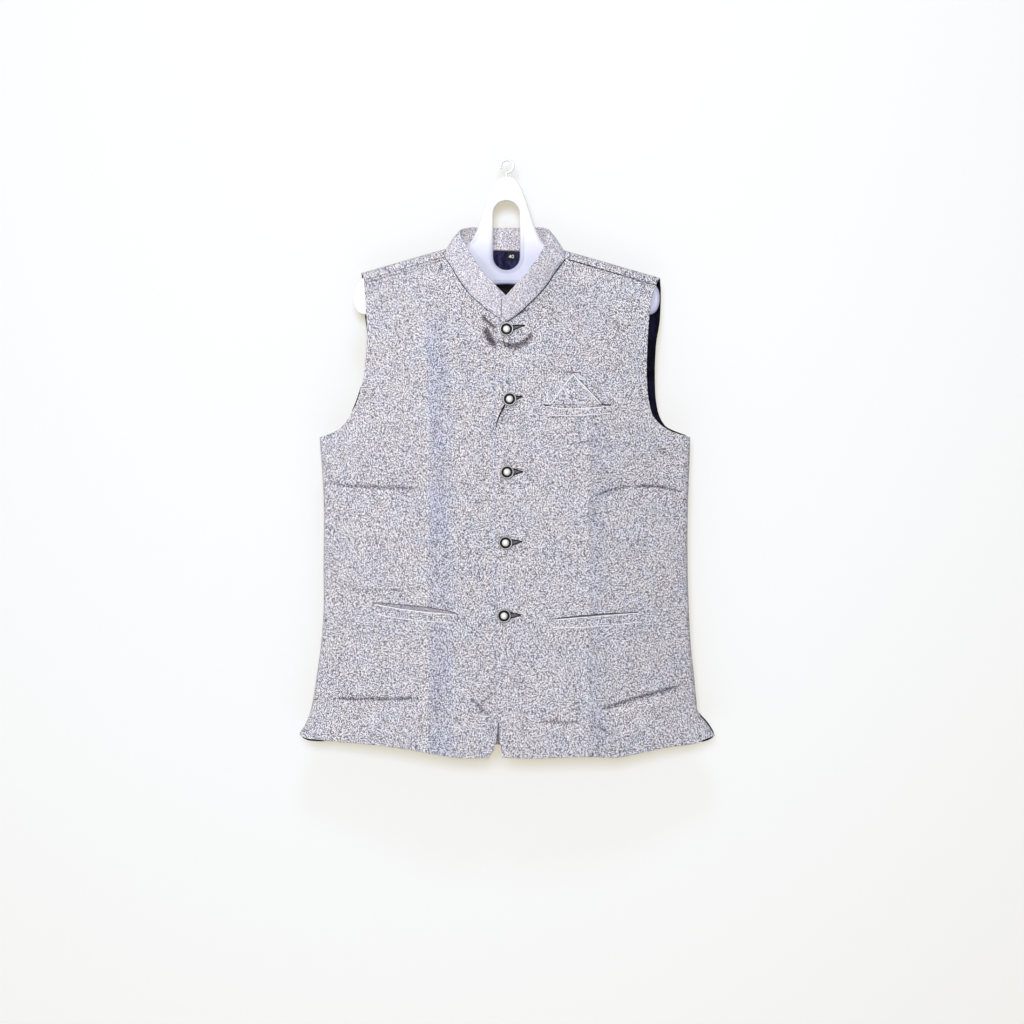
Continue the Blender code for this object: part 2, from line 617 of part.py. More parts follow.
def build_label(name, tree, box, finish, columns, rows):
    """A woven label sewn flat to the inside of the back lining."""
    x, drop = np.meshgrid(np.linspace(box[0], box[1], columns + 1),
                          np.linspace(box[2], box[3], rows + 1))
    points = seated(np.stack((x, np.full(x.shape, BEHIND), -drop), axis=-1), tree, 0.0)
    near = np.array((0.0, -GAP, 0.0))
    far = np.array((0.0, -GAP - LABEL, 0.0))
    return wall(name, points + near, points + far, finish)


def build_buttons(tree):
    """Five turned buttons: a shank, a rim, a groove and a dome, facing forwards."""
    profile = np.array(BUTTON_PROFILE)
    turn = np.linspace(0.0, 2 * math.pi, BUTTON_SIDES, endpoint=False)
    for number, (x, drop) in enumerate(BUTTONS, start=1):
        shank = BUTTON_PROFILE[1][0]
        under = np.array(((x, 0, -drop), (x - shank, 0, -drop), (x + shank, 0, -drop),
                          (x, 0, -drop - shank), (x, 0, -drop + shank)))
        seat = np.array((x, seated(under, tree, IN_FRONT)[:, 1].min() - GAP, -drop))
        rings = []
        points = [seat]
        for radius, height in profile[1:-1]:
            rings.append(len(points))
            points += [seat + (radius * math.cos(a), -height, radius * math.sin(a)) for a in turn]
        points.append(seat - (0.0, profile[-1, 1], 0.0))
        faces = []
        for k in range(BUTTON_SIDES):
            n = (k + 1) % BUTTON_SIDES
            faces.append((0, rings[0] + k, rings[0] + n))
            for a, b in zip(rings, rings[1:]):
                faces.append((a + k, b + k, b + n, a + n))
            faces.append((rings[-1] + k, len(points) - 1, rings[-1] + n))
        solid("button_%d" % number, np.array(points), faces, "button_metal")


def board_outline():
    """The hanger's outline from the top of its hump round to the right, then mirrored."""
    arm_x = np.linspace(BOARD_ARM_FROM, BOARD_ARM_TO, BOARD_STEPS)
    sides = []
    for sign in (1, -1):
        arm = np.column_stack((arm_x, ridge(sign * arm_x + BOARD_X) + BOARD_UNDER_RIDGE))
        half = np.vstack((BOARD_HUMP, arm, BOARD_END, BOARD_BOTTOM[1:]))
        sides.append(half * (sign, 1))
    outline = np.vstack((sides[0], sides[1][-2:0:-1]))
    return outline + (BOARD_X, 0.0)


def slot_outline():
    """The slot in the hump: straight sides and two half-round ends."""
    turn = np.linspace(0.0, math.pi, SLOT_SIDES + 1)
    arc_x, arc_y = SLOT_HALF * np.cos(turn), SLOT_HALF * np.sin(turn)
    top = np.column_stack((arc_x, SLOT_TOP + SLOT_HALF - arc_y))
    bottom = np.column_stack((-arc_x, SLOT_BOTTOM - SLOT_HALF + arc_y))
    return np.vstack((top, bottom)) + (BOARD_X, 0.0)


def moved_in(outline, distance):
    """A closed outline moved along its own left-hand normals."""
    tangent = np.roll(outline, -1, axis=0) - np.roll(outline, 1, axis=0)
    tangent = tangent / np.linalg.norm(tangent, axis=1, keepdims=True)
    return outline + np.column_stack((-tangent[:, 1], tangent[:, 0])) * distance


def build_board():
    """The hanger's board: the outline and its slot, extruded, with a bevel round every edge."""
    loops = []
    for outline, inwards in ((board_outline(), 1.0), (slot_outline(), 1.0)):
        area = np.sum(outline[:, 0] * np.roll(outline[:, 1], -1) - np.roll(outline[:, 0], -1) * outline[:, 1])
        side = inwards * (1.0 if area > 0 else -1.0)
        loops.append((outline, moved_in(outline, BOARD_BEVEL * side)))
    slot, slot_in = loops[1]
    loops[1] = (slot, slot + (slot - slot_in))
    points = []
    rings = []
    for outline, inset in loops:
        count = len(outline)
        ring = []
        layers = ((inset, -BOARD_HALF), (outline, BOARD_BEVEL - BOARD_HALF),
                  (outline, BOARD_HALF - BOARD_BEVEL), (inset, BOARD_HALF))
        for flat, y in layers:
            ring.append(len(points))
            points += [np.array((px, y, -pdrop)) for px, pdrop in flat]
        rings.append((ring, count))
    faces = []
    for ring, count in rings:
        for a, b in zip(ring, ring[1:]):
            for k in range(count):
                n = (k + 1) % count
                faces.append((a + k, a + n, b + n, b + k))
    flat_loops = [[Vector((px, pdrop, 0.0)) for px, pdrop in inset] for _, inset in loops]
    for triangle in tessellate_polygon(flat_loops):
        first = rings[0][1]
        for layer in (0, 3):
            faces.append(tuple(rings[0][0][layer] + v if v < first else rings[1][0][layer] + v - first
                               for v in triangle))
    return solid("hanger_board", np.array(points), faces, "white_plastic")


def build_hook():
    """The wire hook: up from the hump, round under the bearing point and over it."""
    radius = HOOK_INNER + WIRE_RADIUS
    angles = np.radians(np.linspace(-90, HOOK_TIP_ANGLE, HOOK_STEPS))
    route = [(BOARD_X, -HOOK_FOOT), (BOARD_X, -HOOK_FOOT + 1.5)]
    route += [(radius * math.cos(a), radius * math.sin(a) - HOOK_INNER) for a in angles]
    curve = bpy.data.curves.new("hanger_hook", "CURVE")
    curve.dimensions = "3D"
    curve.bevel_depth = WIRE_RADIUS * MM
    curve.bevel_resolution = 2
    curve.use_fill_caps = True
    spline = curve.splines.new("POLY")
    spline.points.add(len(route) - 1)
    for point, (x, z) in zip(spline.points, route):
        point.co = (x * MM, 0.0, z * MM, 1.0)
    curve.materials.append(material("hook_steel"))
    hook = bpy.data.objects.new("hanger_hook", curve)
    bpy.context.scene.collection.objects.link(hook)
    return hook


def main():
    for leftover in list(bpy.data.objects):
        bpy.data.objects.remove(leftover)
    right, neck_right = build_front("front_right", True, NECKLINE_RIGHT, NECK_CORNER_RIGHT, FRONT_EDGE_RIGHT,
                                    ARMHOLE_RIGHT, 0, HEM_RIGHT, FOLDS[0][0], EDGE_TO_FOLD_RIGHT)
    left, neck_left = build_front("front_left", False, NECKLINE_LEFT, NECK_CORNER_LEFT, FRONT_EDGE_LEFT,
                                  ARMHOLE_LEFT, 1, HEM_LEFT, FOLDS[1][0], EDGE_TO_FOLD_LEFT)
    lining, neck_back = build_back()
    build_collar(neck_right, neck_back, neck_left)
    on_left, on_right, on_lining = facets(left), facets(right), facets(lining)
    build_welt("chest_welt", on_left, *CHEST_WELT)
    build_welt("hip_welt_right", on_right, *HIP_WELT_RIGHT)
    build_welt("hip_welt_left", on_left, *HIP_WELT_LEFT)
    build_square(on_left)
    build_label("neck_label", on_lining, NECK_LABEL, "label_black", 8, 5)
    build_label("size_tag", on_lining, SIZE_TAG, "label_black", 3, 3)
    build_buttons(on_left)
    build_board()
    build_hook()


main()
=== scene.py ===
"""Looks of a nehru jacket on a hanger: tweed shells with their creases, satin linings,
metal buttons, sewing, the plastic hanger, and a white studio.

Shapes are worked out in millimetres in the model's own frame: +X runs to the wearer's left, the front
faces -Y and +Z is up. A "drop" is a distance below the origin, where the hanger's hook bears.
Every cloth piece is a grid of points on front_place(x, drop), back_place(x, way) or the collar's
band, walled to its thickness and rounded at its edges by shell().
"""
import functools
import json
import math

import bmesh
import bpy
import numpy as np
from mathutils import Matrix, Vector
from mathutils.geometry import tessellate_polygon

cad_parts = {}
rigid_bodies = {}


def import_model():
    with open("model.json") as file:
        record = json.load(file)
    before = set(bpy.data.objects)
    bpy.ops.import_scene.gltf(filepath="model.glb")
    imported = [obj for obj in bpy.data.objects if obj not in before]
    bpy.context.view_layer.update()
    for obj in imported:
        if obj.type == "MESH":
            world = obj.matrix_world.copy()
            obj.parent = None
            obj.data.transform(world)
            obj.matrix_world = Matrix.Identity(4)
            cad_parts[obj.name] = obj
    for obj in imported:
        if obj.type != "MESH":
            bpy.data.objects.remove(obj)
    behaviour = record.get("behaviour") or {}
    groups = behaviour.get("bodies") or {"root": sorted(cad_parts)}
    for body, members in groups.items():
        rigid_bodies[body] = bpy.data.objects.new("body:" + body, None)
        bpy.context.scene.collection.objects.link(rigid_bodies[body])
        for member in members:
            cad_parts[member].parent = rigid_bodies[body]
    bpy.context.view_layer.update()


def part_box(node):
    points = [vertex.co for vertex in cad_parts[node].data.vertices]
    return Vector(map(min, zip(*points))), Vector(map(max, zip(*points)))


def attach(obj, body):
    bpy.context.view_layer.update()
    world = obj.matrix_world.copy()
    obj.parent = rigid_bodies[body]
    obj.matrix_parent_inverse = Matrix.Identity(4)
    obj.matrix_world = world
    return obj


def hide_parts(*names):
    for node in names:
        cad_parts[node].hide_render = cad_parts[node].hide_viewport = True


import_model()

MM = 0.001
FORWARDS = (0, -1, 0)
BODY_NAME = "root"

# ---------------------------------------------------------------- walls, as in the solids

CLOTH = 2
LINING = 1
COLLAR = 2.6
WELT = 1.4
WELT_LIFT = 0.15
SQUARE = 1.2
GAP = 0.3

TOP_HEIGHT = 13
TOP_HALF = 9
TOP_WAY = 17.4
FALL_FRONT = 140
FALL_BACK = 150
RIDGE_CENTRE = 98
RIDGE_SLOPE = 0.296
RIDGE_ROUND = 30
RIDGE_TILT = 2
RIDGE_TILT_WIDTH = 50

EDGE_ROLL = 7
BAG_POWER = 2.6
BAG_FULLNESS = 1.2
VENT_TOP = 757
VENT_LENGTH = 50
VENT_SPREAD = 3.5

NECK_HALF_RIGHT = 87.4
NECK_HALF_LEFT = 81.4
# How the cloth stands away at the neck: by how much, half width, drop of its middle, reach
BACK_STAND = (33, 90, 117, 90)
BACK_STAND_ANGLE = math.radians(25)
FRONT_STAND = (16, 95, 165, 55)
FRONT_STAND_FALL = 40

LAP_STEP = 3.4
LAP_NEAR = 6
LAP_FAR = 60

# drop, half width at the wearer's right, at the wearer's left, depth of the front, of the back
BODY = (
    (90, 246, 242, 36, 27),
    (231, 254, 249, 41, 30),
    (330, 261, 255, 42, 30),
    (388, 263.1, 257, 42, 29),
    (420, 260.6, 256.2, 41, 28),
    (476, 257.4, 254, 39, 27),
    (570, 257.6, 253.4, 39, 26),
    (630, 257.5, 255.2, 40, 26),
    (682, 261.6, 258, 41, 26),
    (720, 267, 262.2, 41, 26),
    (757, 272.8, 265.8, 42, 26),
    (774, 276.6, 268.4, 42, 26),
    (790, 282.4, 281, 42, 26),
    (805, 290.8, 290.2, 42, 26),
    (835, 294, 293, 42, 26),
)

# Outlines of the fronts and the back, x and drop, as in the solids
NECKLINE_RIGHT = ((-87.4, 136.7), (-79.2, 148.6), (-66.4, 171.6), (-48.4, 195.4),
                  (-34.2, 208.5), (-21.9, 218.6), (-9.5, 226.9), (3, 233))
NECKLINE_LEFT = ((81.4, 140.1), (75.5, 147.4), (66.3, 160.3), (57.3, 175.6),
                 (46.6, 189.8), (30.7, 206.7), (13.1, 223), (1.4, 231.3))
NECK_CORNER_RIGHT = (13, 237)
NECK_CORNER_LEFT = (-7.8, 223.4)
FRONT_EDGE_RIGHT = ((13, 237), (13.8, 262), (13.8, 450), (13.8, 641), (8, 700), (-6, 760),
                    (-12.3, 787.5), (-14.8, 807), (-19, 822), (-26, 831))
FRONT_EDGE_LEFT = ((-7.8, 223.4), (-13, 243.5), (-14.6, 264), (-15.2, 379), (-15, 476),
                   (-14.3, 613), (-14.2, 706), (-10.9, 784), (-9.5, 812), (-6.8, 829.8))
ARMHOLE_RIGHT = ((-200, 170.4), (-197.5, 203), (-194.8, 243), (-196.5, 282), (-201.5, 317),
                 (-211.5, 346), (-220.5, 362), (-233.3, 376.5), (-249, 383.7), (-263.1, 388))
ARMHOLE_LEFT = ((208.4, 177), (203.1, 187.3), (199.7, 208.5), (196, 250.3), (194.2, 281),
                (194.2, 311.6), (196.7, 338), (203, 360), (211.5, 369.5), (223.1, 377),
                (240, 383.6), (257, 388))
HEM_RIGHT = ((-290.8, 804.5), (-283.2, 809), (-251.9, 811), (-200.2, 813.6), (-142.1, 819),
             (-104.9, 825), (-71.7, 830.2), (-26, 831))
HEM_LEFT = ((290.2, 806), (262.4, 815), (220.2, 819.5), (178.8, 827), (148.1, 831.3),
            (117.6, 829.5), (37, 831), (-6.8, 829.8))
SHOULDER_TIP_RIGHT = (-200, -205.2)
SHOULDER_TIP_LEFT = (208.4, 215.6)
BACK_ARMHOLE_RIGHT = ((-204.5, 191), (-201, 215), (-197.5, 245), (-198, 282), (-204.5, 317),
                      (-214.5, 346), (-223.5, 362), (-236, 376), (-250, 383.5), (-263.1, 388))
BACK_ARMHOLE_LEFT = ((216.7, 196), (215.3, 224.7), (211.3, 250), (209.5, 280), (209.5, 308),
                     (211.5, 338.6), (217, 361), (227, 375), (241, 383), (257, 388))
BACK_HEM = ((-292.5, 805.5), (-283, 810), (-200, 816), (-100, 822), (0, 824),
            (100, 823), (200, 819), (262, 815), (292.5, 807.5))
BACK_NECKLINE = ((0, 15.2), (0.23, 14), (0.44, 11.8), (0.63, 9.2),
                 (0.78, 6.7), (0.90, 4.6), (0.96, 3.1))
COLLAR_TOP = (
    (-1.00, 9.5, -36.6, 205),
    (-0.92, 2.5, -36.7, 198.5),
    (-0.85, -8.8, -37.2, 187.5),
    (-0.77, -20.4, -37, 175.7),
    (-0.69, -30.8, -34.5, 164.8),
    (-0.61, -40.3, -30.5, 152.3),
    (-0.53, -50, -23.5, 135.5),
    (-0.455, -61.5, -13, 113),
    (-0.41, -66.5, -5, 100.5),
    (-0.36, -65.5, 4.5, 94.3),
    (-0.295, -57.5, 12.8, 90.5),
    (-0.20, -41.6, 24, 87.2),
    (-0.10, -21.2, 33.2, 85.8),
    (0, -0.5, 37, 85.4),
    (0.10, 20.2, 33.2, 85.9),
    (0.20, 38.8, 23.8, 87.2),
    (0.285, 51.8, 13.4, 89.8),
    (0.345, 58.4, 4.5, 94),
    (0.395, 58.4, -4.5, 99.6),
    (0.445, 54.6, -12.5, 115.5),
    (0.52, 44.5, -23.5, 138),
    (0.59, 34.5, -30, 152.5),
    (0.66, 26, -34, 164.6),
    (0.735, 17, -37, 174.6),
    (0.81, 8.5, -39.2, 184),
    (0.88, 1.2, -40.2, 192.6),
    (0.95, -4.4, -40.4, 197.4),
    (1.00, -7.5, -40.4, 199),
)
COLLAR_SEAM = 0.4
COLLAR_BOW = 1.2
# Painted light: how much lighter the collar's cloth is made on its inner skin
COLLAR_INSIDE_PAINTED_LIGHT = 0.9
# Painted shade: the radius of the grey thread down the collar's lapped end, a dark line standing for the
# shade at that edge
COLLAR_END_THREAD = 0.42
COLLAR_END_LIFT = 0.1

# Long folds pressed into the fronts: x, drop where each starts and ends, height, half width. They fade
# in and out over FOLD_FADE, and a line that leans does so over LEAN_LENGTH from its start
FOLDS = (
    (-106, 190, 860, 2.2, 34),
    (111, 330, 860, 2, 32),
)
FOLD_FADE = 60
# The painted shade bands fade in and out over this length; the next is the share of painted highlight in the
# narrow band before each line
BAND_FADE = 90
BAND_PAINTED_HIGHLIGHT = 0.3
# Painted shade on the right front beside the left front's edge, and a painted highlight along that edge:
# strength, how far in from the edge, half width
SHADE_UNDER_LAP = (-0.55, 0, 2.2)
PAINTED_HIGHLIGHT_ON_LAP = (0.2, 1.8, 1.6)
LEAN_LENGTH = 260
# Over them a narrow pressed edge: x, how far its top leans outwards, start, end, height, half width
PRESSED_EDGES = (
    (-108, -6, 150, 870, 0.9, 8),
    (112, 3, 300, 870, 0.7, 8),
)
# The painted shade band beside each: x, lean, start, end, width, strength
PAINTED_SHADE_BANDS = (
    (-108, -6, 175, 880, 44, 0.48),
    (112, 3, 320, 880, 34, 0.27),
)

EDGE_TO_FOLD_RIGHT = (0, 0.15, 0.26, 0.37, 0.57, 0.78, 0.91, 1)
EDGE_TO_FOLD_LEFT = (0, 0.12, 0.3, 0.5, 0.7, 0.88, 1)
FOLD_TO_SIDE = (0.07, 0.185, 0.375, 0.6, 0.79, 0.9, 0.965, 0.992, 1)
NECK_STEPS = 7
EDGE_STEPS = 13
EDGE_CROWDING = 0.1
CORNER_SAG = 12
ARM_STEPS = 9
ROW_BEND = 0.65
ROW_BEND_REACH = 7
STRAP_WAYS = (-17.2, -12, -7, -2, 3.1, 8, 12.7, 17.4)
NECK_ROW = 4
ACROSS_STRAP = (0.15, 0.32, 0.5, 0.68, 0.84, 0.94, 1)
ACROSS_BODY = (0, 0.09, 0.18, 0.27, 0.36, 0.45, 0.54, 0.64, 0.74, 0.84, 0.92, 0.972, 0.993, 1)
BACK_ARM_STEPS = 7
BACK_SIDE_STEPS = 10
BACK_TOP_DROP = 140
LINING_COLUMNS_BEFORE_FOLD = 1

# Each front's own lines: under the other or not, side, column of BODY, outlines and column places
FRONTS = {
    "right": {"under": True, "sign": -1, "column": 0, "neckline": NECKLINE_RIGHT,
              "corner": NECK_CORNER_RIGHT, "edge": FRONT_EDGE_RIGHT, "armhole": ARMHOLE_RIGHT,
              "hem": HEM_RIGHT, "fold": FOLDS[0][0], "to_fold": EDGE_TO_FOLD_RIGHT},
    "left": {"under": False, "sign": 1, "column": 1, "neckline": NECKLINE_LEFT,
             "corner": NECK_CORNER_LEFT, "edge": FRONT_EDGE_LEFT, "armhole": ARMHOLE_LEFT,
             "hem": HEM_LEFT, "fold": FOLDS[1][0], "to_fold": EDGE_TO_FOLD_LEFT},
}

# Over what fall below the shoulder a front's and the back's creases begin
FRONT_CREASE_FALL = 30
BACK_CREASE_FALL = 40
# Painted shade: the linings darken from this far out, over this width, towards the armholes
DARK_LINING_FROM = 110
DARK_LINING_WIDTH = 50

# How many fine steps a shell has for each step of the solids' grids
FINE_FRONT = (16, 8)
FINE_BACK = 8
FINE_LINING = 4
COLLAR_ROWS = 16
COLLAR_STATIONS = 260
COLLAR_SMOOTHINGS = 3
COLLAR_FOOT = 0.3
RIM_STEPS = 4
TUBE_END = 0.55

# ---------------------------------------------------------------- creases

# Soft creases in the fronts: from x, drop to x, drop; how far the middle bows down; height outwards,
# negative for a trough; half widths above and below the line; share of the length over which it fades
FRONT_CREASES = (
    # the drag folds pulled to the top button, and the sag under it
    (-30, 237, -14, 268, 1.5, -4.6, 9, 11, 0.25),
    (-37, 220, -12, 242, 1, -2.6, 6.5, 8, 0.25),
    (-44, 238, -22, 270, 2, 1.6, 7, 9, 0.40),
    (-20, 252, 40, 236, 20, -2.7, 9, 14, 0.30),
    (10, 226, 34, 214, -3, -1.8, 6, 8, 0.40),
    (-14, 281, 50, 256, 16, 1.2, 12, 16, 0.45),
    # across the wearer's right front
    (-262, 452, -92, 459, 2, -1.5, 4, 9, 0.30),
    (-256, 448, -226, 452, 0, -1.2, 4, 7, 0.45),
    (-254, 490, -222, 482, -3, 1.3, 8, 5, 0.45),
    (-254, 612, -224, 604, -3, 1.2, 8, 6, 0.45),
    (-256, 600, -110, 598, 1, -0.7, 5, 9, 0.35),
    (-258, 752, -104, 748, 2, -1.7, 9, 4.5, 0.25),
    (-60, 480, -18, 470, 4, -1, 6, 8, 0.45),
    (-52, 738, -16, 778, 4, -1.5, 5, 8, 0.40),
    (-46, 764, -14, 742, -2, -1.1, 5, 7, 0.40),
    (-88, 256, -74, 196, -4, -0.7, 7, 10, 0.45),
    (-84, 146, -100, 166, 2, -0.9, 8, 9, 0.45),
    # across the wearer's left front
    (111, 478, 184, 458, -6, -1.6, 7, 4, 0.30),
    (170, 458, 252, 467, -4, -1.9, 8, 4, 0.25),
    (118, 768, 254, 733, -3, -2.1, 4, 8, 0.22),
    (128, 779, 250, 748, -3, 1.3, 6, 10, 0.35),
    (32, 780, 116, 782, 1, -1.2, 9, 5, 0.35),
    (112, 780, 152, 806, -2, -1.4, 5, 8, 0.40),
    (60, 300, 112, 301, 0, -1, 6, 5, 0.35),
    (78, 398, 136, 390, 3, -0.9, 7, 9, 0.45),
    (196, 402, 240, 420, -3, -0.8, 8, 9, 0.45),
    (-6, 700, 30, 742, 4, -0.8, 6, 8, 0.45),
    (140, 200, 176, 262, 5, -0.6, 12, 14, 0.45),
)

# The same sort of creases over the back, which the wall hides: x and drop
BACK_CREASES = (
    (-104, 215, -108, 800, 3, 1.8, 16, 22, 0.12),
    (108, 240, 112, 800, -2, 1.7, 20, 15, 0.12),
    (-250, 458, -96, 466, 4, -1.6, 5, 9, 0.30),
    (96, 462, 250, 452, 5, -1.5, 8, 5, 0.28),
    (-58, 470, 70, 466, 3, -0.9, 7, 8, 0.40),
    (-246, 742, -60, 752, 3, -1.7, 9, 5, 0.30),
    (70, 760, 252, 736, -3, -1.7, 5, 9, 0.25),
    (-74, 226, 76, 229, 12, -1, 9, 13, 0.40),
    (-160, 210, -120, 300, 8, -1.1, 12, 15, 0.45),
    (124, 296, 168, 214, 8, -1.2, 15, 12, 0.45),
    (-20, 610, 90, 596, 4, -0.8, 8, 9, 0.45),
)

# Slack in the linings, its slow wave and its most, and their creases: troughs towards the hollow
LINING_SLACK = 0.45
LINING_SLACK_MOST = 3
LINING_WAVE = 0.35
LINING_CREASES = (
    (-40, 150, 46, 152, 3, -0.7, 4, 5, 0.40),
    (188, 240, 212, 262, 2, -0.8, 5, 7, 0.40),
    (186, 300, 214, 284, -2, -0.8, 6, 7, 0.40),
    (-214, 262, -180, 300, 4, -0.9, 6, 8, 0.40),
    (-160, 420, 150, 440, 16, -1.1, 9, 12, 0.30),
    (-120, 640, 160, 610, -14, -1.1, 12, 9, 0.30),
)

# Creases across the collar's band: share of its way, height share at which each is deepest,
# half length along the height, half width along the way in millimetres, depth
COLLAR_CREASES = (
    (-0.655, 0.80, 0.42, 1.9, 0.55),
    (-0.600, 0.55, 0.30, 2.2, 0.30),
    (-0.380, 0.35, 0.45, 2.5, 0.35),
    (0.430, 0.35, 0.50, 2.4, 0.60),
    (0.560, 0.80, 0.35, 2.2, 0.45),
    (0.640, 0.40, 0.35, 2.4, 0.35),
)

# The cloth's own unevenness: wavelengths across and down, turn, phase, height
RIPPLES = (
    (86, 240, 0.30, 0.4, 0.34),
    (131, 97, -0.55, 2.1, 0.30),
    (58, 171, 0.80, 4, 0.20),
    (43, 61, -0.25, 1.2, 0.12),
    (29, 38, 0.60, 3.3, 0.07),
)

# The weave: distance between warp yarns and between weft yarns, and the yarns' colours
WARP_PITCH = 0.69
WEFT_PITCH = 1.04
WARP_COLOUR = (0.79, 0.782, 0.832)
WEFT_COLOUR = (0.11, 0.105, 0.135)
# Noises over the cloth: cycles a metre, detail, roughness, stretch
WANDER = (240, 1)
GRAIN = (620, 0)
MOTTLE = (310, 2, 0.6)
SLUB = (150, 2, 0.6, (0.25, 1.6, 1))
BLOTCH = (95, 2, 0.6)
CLOUD = (24, 3, 0.6)
FUZZ = (2600, 2, 0.6)
SATIN_LINES = (900, 1, 0.5, (0.12, 1.6, 1))
SATIN_CLOUD = (110, 3, 0.6, (1, 0.6, 1))
# How far the grain, each float, the twill and a crease's painted shading swing the cloth between its
# yarns' colours, and the swings at which it is all weft and all warp
GRAIN_SWING = 2.4
CREASE_SHADING_SWING = 0.35
# How far the yarns wander, in pitches, and how far the other noises darken or lighten them
WANDER_SWING = 0.55
SLUB_SWING = 0.15
MOTTLE_SWING = 0.15
BLOTCH_SWING = 0.1
DARKEST_TONE = 0.15
# The cool and the warm ends of the hue's drift, with the blotches and with the clouds
BLOTCH_HUES = ((0.985, 0.99, 1.012), (1.01, 0.997, 0.99))
CLOUD_HUES = ((0.975, 0.985, 1.015), (1.015, 1, 0.985))
FLOAT_SWING = 1.1
TWILL_SWING = 0.2
ALL_WEFT = -0.29
ALL_WARP = 0.21
# Painted shading on the cloth: painted shade beside the folds and under the lap, painted shade in the
# creases, and painted light beside the folds' lines, on the lap's edge, on crease ridges and inside the
# collar: the mark at which each begins, the one at which it is full, and the colour that the cloth is
# then multiplied by
PAINTED_SHADE_TINT = (0, -0.6, (0.80, 0.855, 0.98))
SHADED = (-0.25, -1.1, (0.37, 0.33, 0.35))
PAINTED_LIGHT_TINT = (0, 1, (1.50, 1.45, 1.38))
NO_PAINTED_SHADING = (0, 0)
# Tweeds: shares of the warp's and the weft's colours, slant of the twill, unevenness. The copies in the
# pocket and in the buttonholes are darker: painted shade
TWEEDS = {
    "wool_tweed": (1, 1, -1, 1),
    "wool_tweed_left": (1, 1, 1, 1),
    "wool_collar": (1, 2.4, -1, 0.8),
    "wool_pocket_painted_shade": (0.56, 1.6, 1, 1),
    "wool_hole_painted_shade": (0.22, 0.7, 1, 1),
}
# Satins: colours near the middle, and the painted shade deep in the armholes
SATINS = {
    "navy_satin": ((0.030, 0.029, 0.086), (0.0012, 0.0012, 0.005)),
    "navy_piping": ((0.006, 0.006, 0.014), (0.003, 0.003, 0.008)),
}
# Metals: colour, roughness, metallic
METALS = {
    "hook_bright_steel": ((0.96, 0.96, 0.96), 0.42, 0.45),
    "button_silver": ((0.60, 0.60, 0.61), 0.38, 0.6),
    "button_dome": ((0.90, 0.90, 0.90), 0.30, 0.35),
}
# Threads: dark and light tones of their mottle. The pale wool is painted highlight, for the light that
# the rolled edges catch
THREADS = {
    "thread_black": ((0.002, 0.002, 0.003), (0.009, 0.009, 0.013)),
    "thread_grey": ((0.10, 0.10, 0.13), (0.22, 0.22, 0.27)),
    "thread_white": ((0.80, 0.80, 0.80), (0.95, 0.95, 0.95)),
    "wool_edge_painted_highlight": ((0.70, 0.70, 0.75), (0.98, 0.98, 1)),
}
# The painted marks of a crease, painted shade in its trough and painted light on its ridge, are
# narrower than the crease, and stronger in its trough than on its ridge
CREASE_NARROWING = 0.36
TROUGH_MARK = 1.25
RIDGE_MARK = 0.3

# ---------------------------------------------------------------- trimmings

# Buttonholes: stitches on each lip, where they begin from the button's middle, their thread's radius,
# their arch's foot and rise, and the heights of the slit's two skins
HOLE_STITCHES = 22
HOLE_START = 8.3
HOLE_THREAD = 0.45
HOLE_ARCH = (0.15, 0.6)
HOLE_BAR_ARCH = (0.2, 0.5)
HOLE_BAR_HALVES = ((1.3,), (1,), (0.6,))
HOLE_HEIGHTS = (0.18, -0.2)
HOLE_UNDERLAP = 0.1

# x and drop of each button's centre; how far its buttonhole reaches out and rises, and half the
# slit's width where it comes out from under the button
BUTTONS = (
    (-0.6, 242.4, 23.4, 5.7, 3),
    (3.5, 338.1, 16.5, 3.4, 2.4),
    (0.1, 438, 20.4, 0.6, 3.8),
    (-2, 535.1, 21.4, 1.7, 3.7),
    (-4, 635, 21.8, 1, 3.8),
)
# radius and height of a button's turned outline, with the finish of the band that starts there
BUTTON_PROFILE = (
    (0, 0, "rim"), (4, 0, "rim"), (4.2, 1.2, "rim"), (8.9, 1.35, "groove"),
    (9.45, 1.65, "groove"), (9.65, 2.15, "groove"), (9.5, 2.65, "groove"), (9.2, 2.95, "groove"),
    (8.95, 3.1, "rim"), (8.6, 3.3, "rim"), (8.2, 3.3, "rim"), (7.95, 3.1, "groove"),
    (7.6, 2.8, "groove"), (6.4, 2.75, "groove"), (5.2, 2.85, "groove"),
    (4.7, 3.2, "dome"), (4.5, 3.9, "dome"), (3.95, 4.8, "dome"),
    (3.1, 5.4, "dome"), (2.1, 5.75, "dome"), (1, 5.95, "dome"), (0, 6, "dome"),
)
BUTTON_SIDES = 72
SHANK_GAP = 0.1

CHEST_WELT = (((52.8, 347), (68.5, 350), (106.9, 350), (140.1, 346.6)),
              ((53.8, 360.4), (92.4, 360.8), (143.4, 357.2)))
HIP_WELT_RIGHT = (((-69, 633.2), (-107.2, 630.4), (-146.7, 626.2), (-182.2, 620.6), (-188.2, 619)),
                  ((-70, 644.4), (-105.9, 643), (-146, 639.6), (-188.2, 632.4)))
HIP_WELT_LEFT = (((62, 640), (94.7, 637.6), (136.7, 634.6), (182.8, 632)),
                 ((60.3, 651.8), (96, 651.6), (135, 649.4), (184.7, 645)))
# The slit that gapes over each hip welt: its upper lip
HIP_SLIT_RIGHT = ((-70, 631.4), (-82.8, 628.2), (-110.4, 623.6), (-144.9, 620.6), (-172.5, 618.6),
                  (-187, 618.2))
HIP_SLIT_LEFT = ((62.5, 639.6), (94.7, 635.9), (136.7, 632.8), (181.5, 631.4))
WELT_COLUMNS = 60
WELT_ROWS = 8
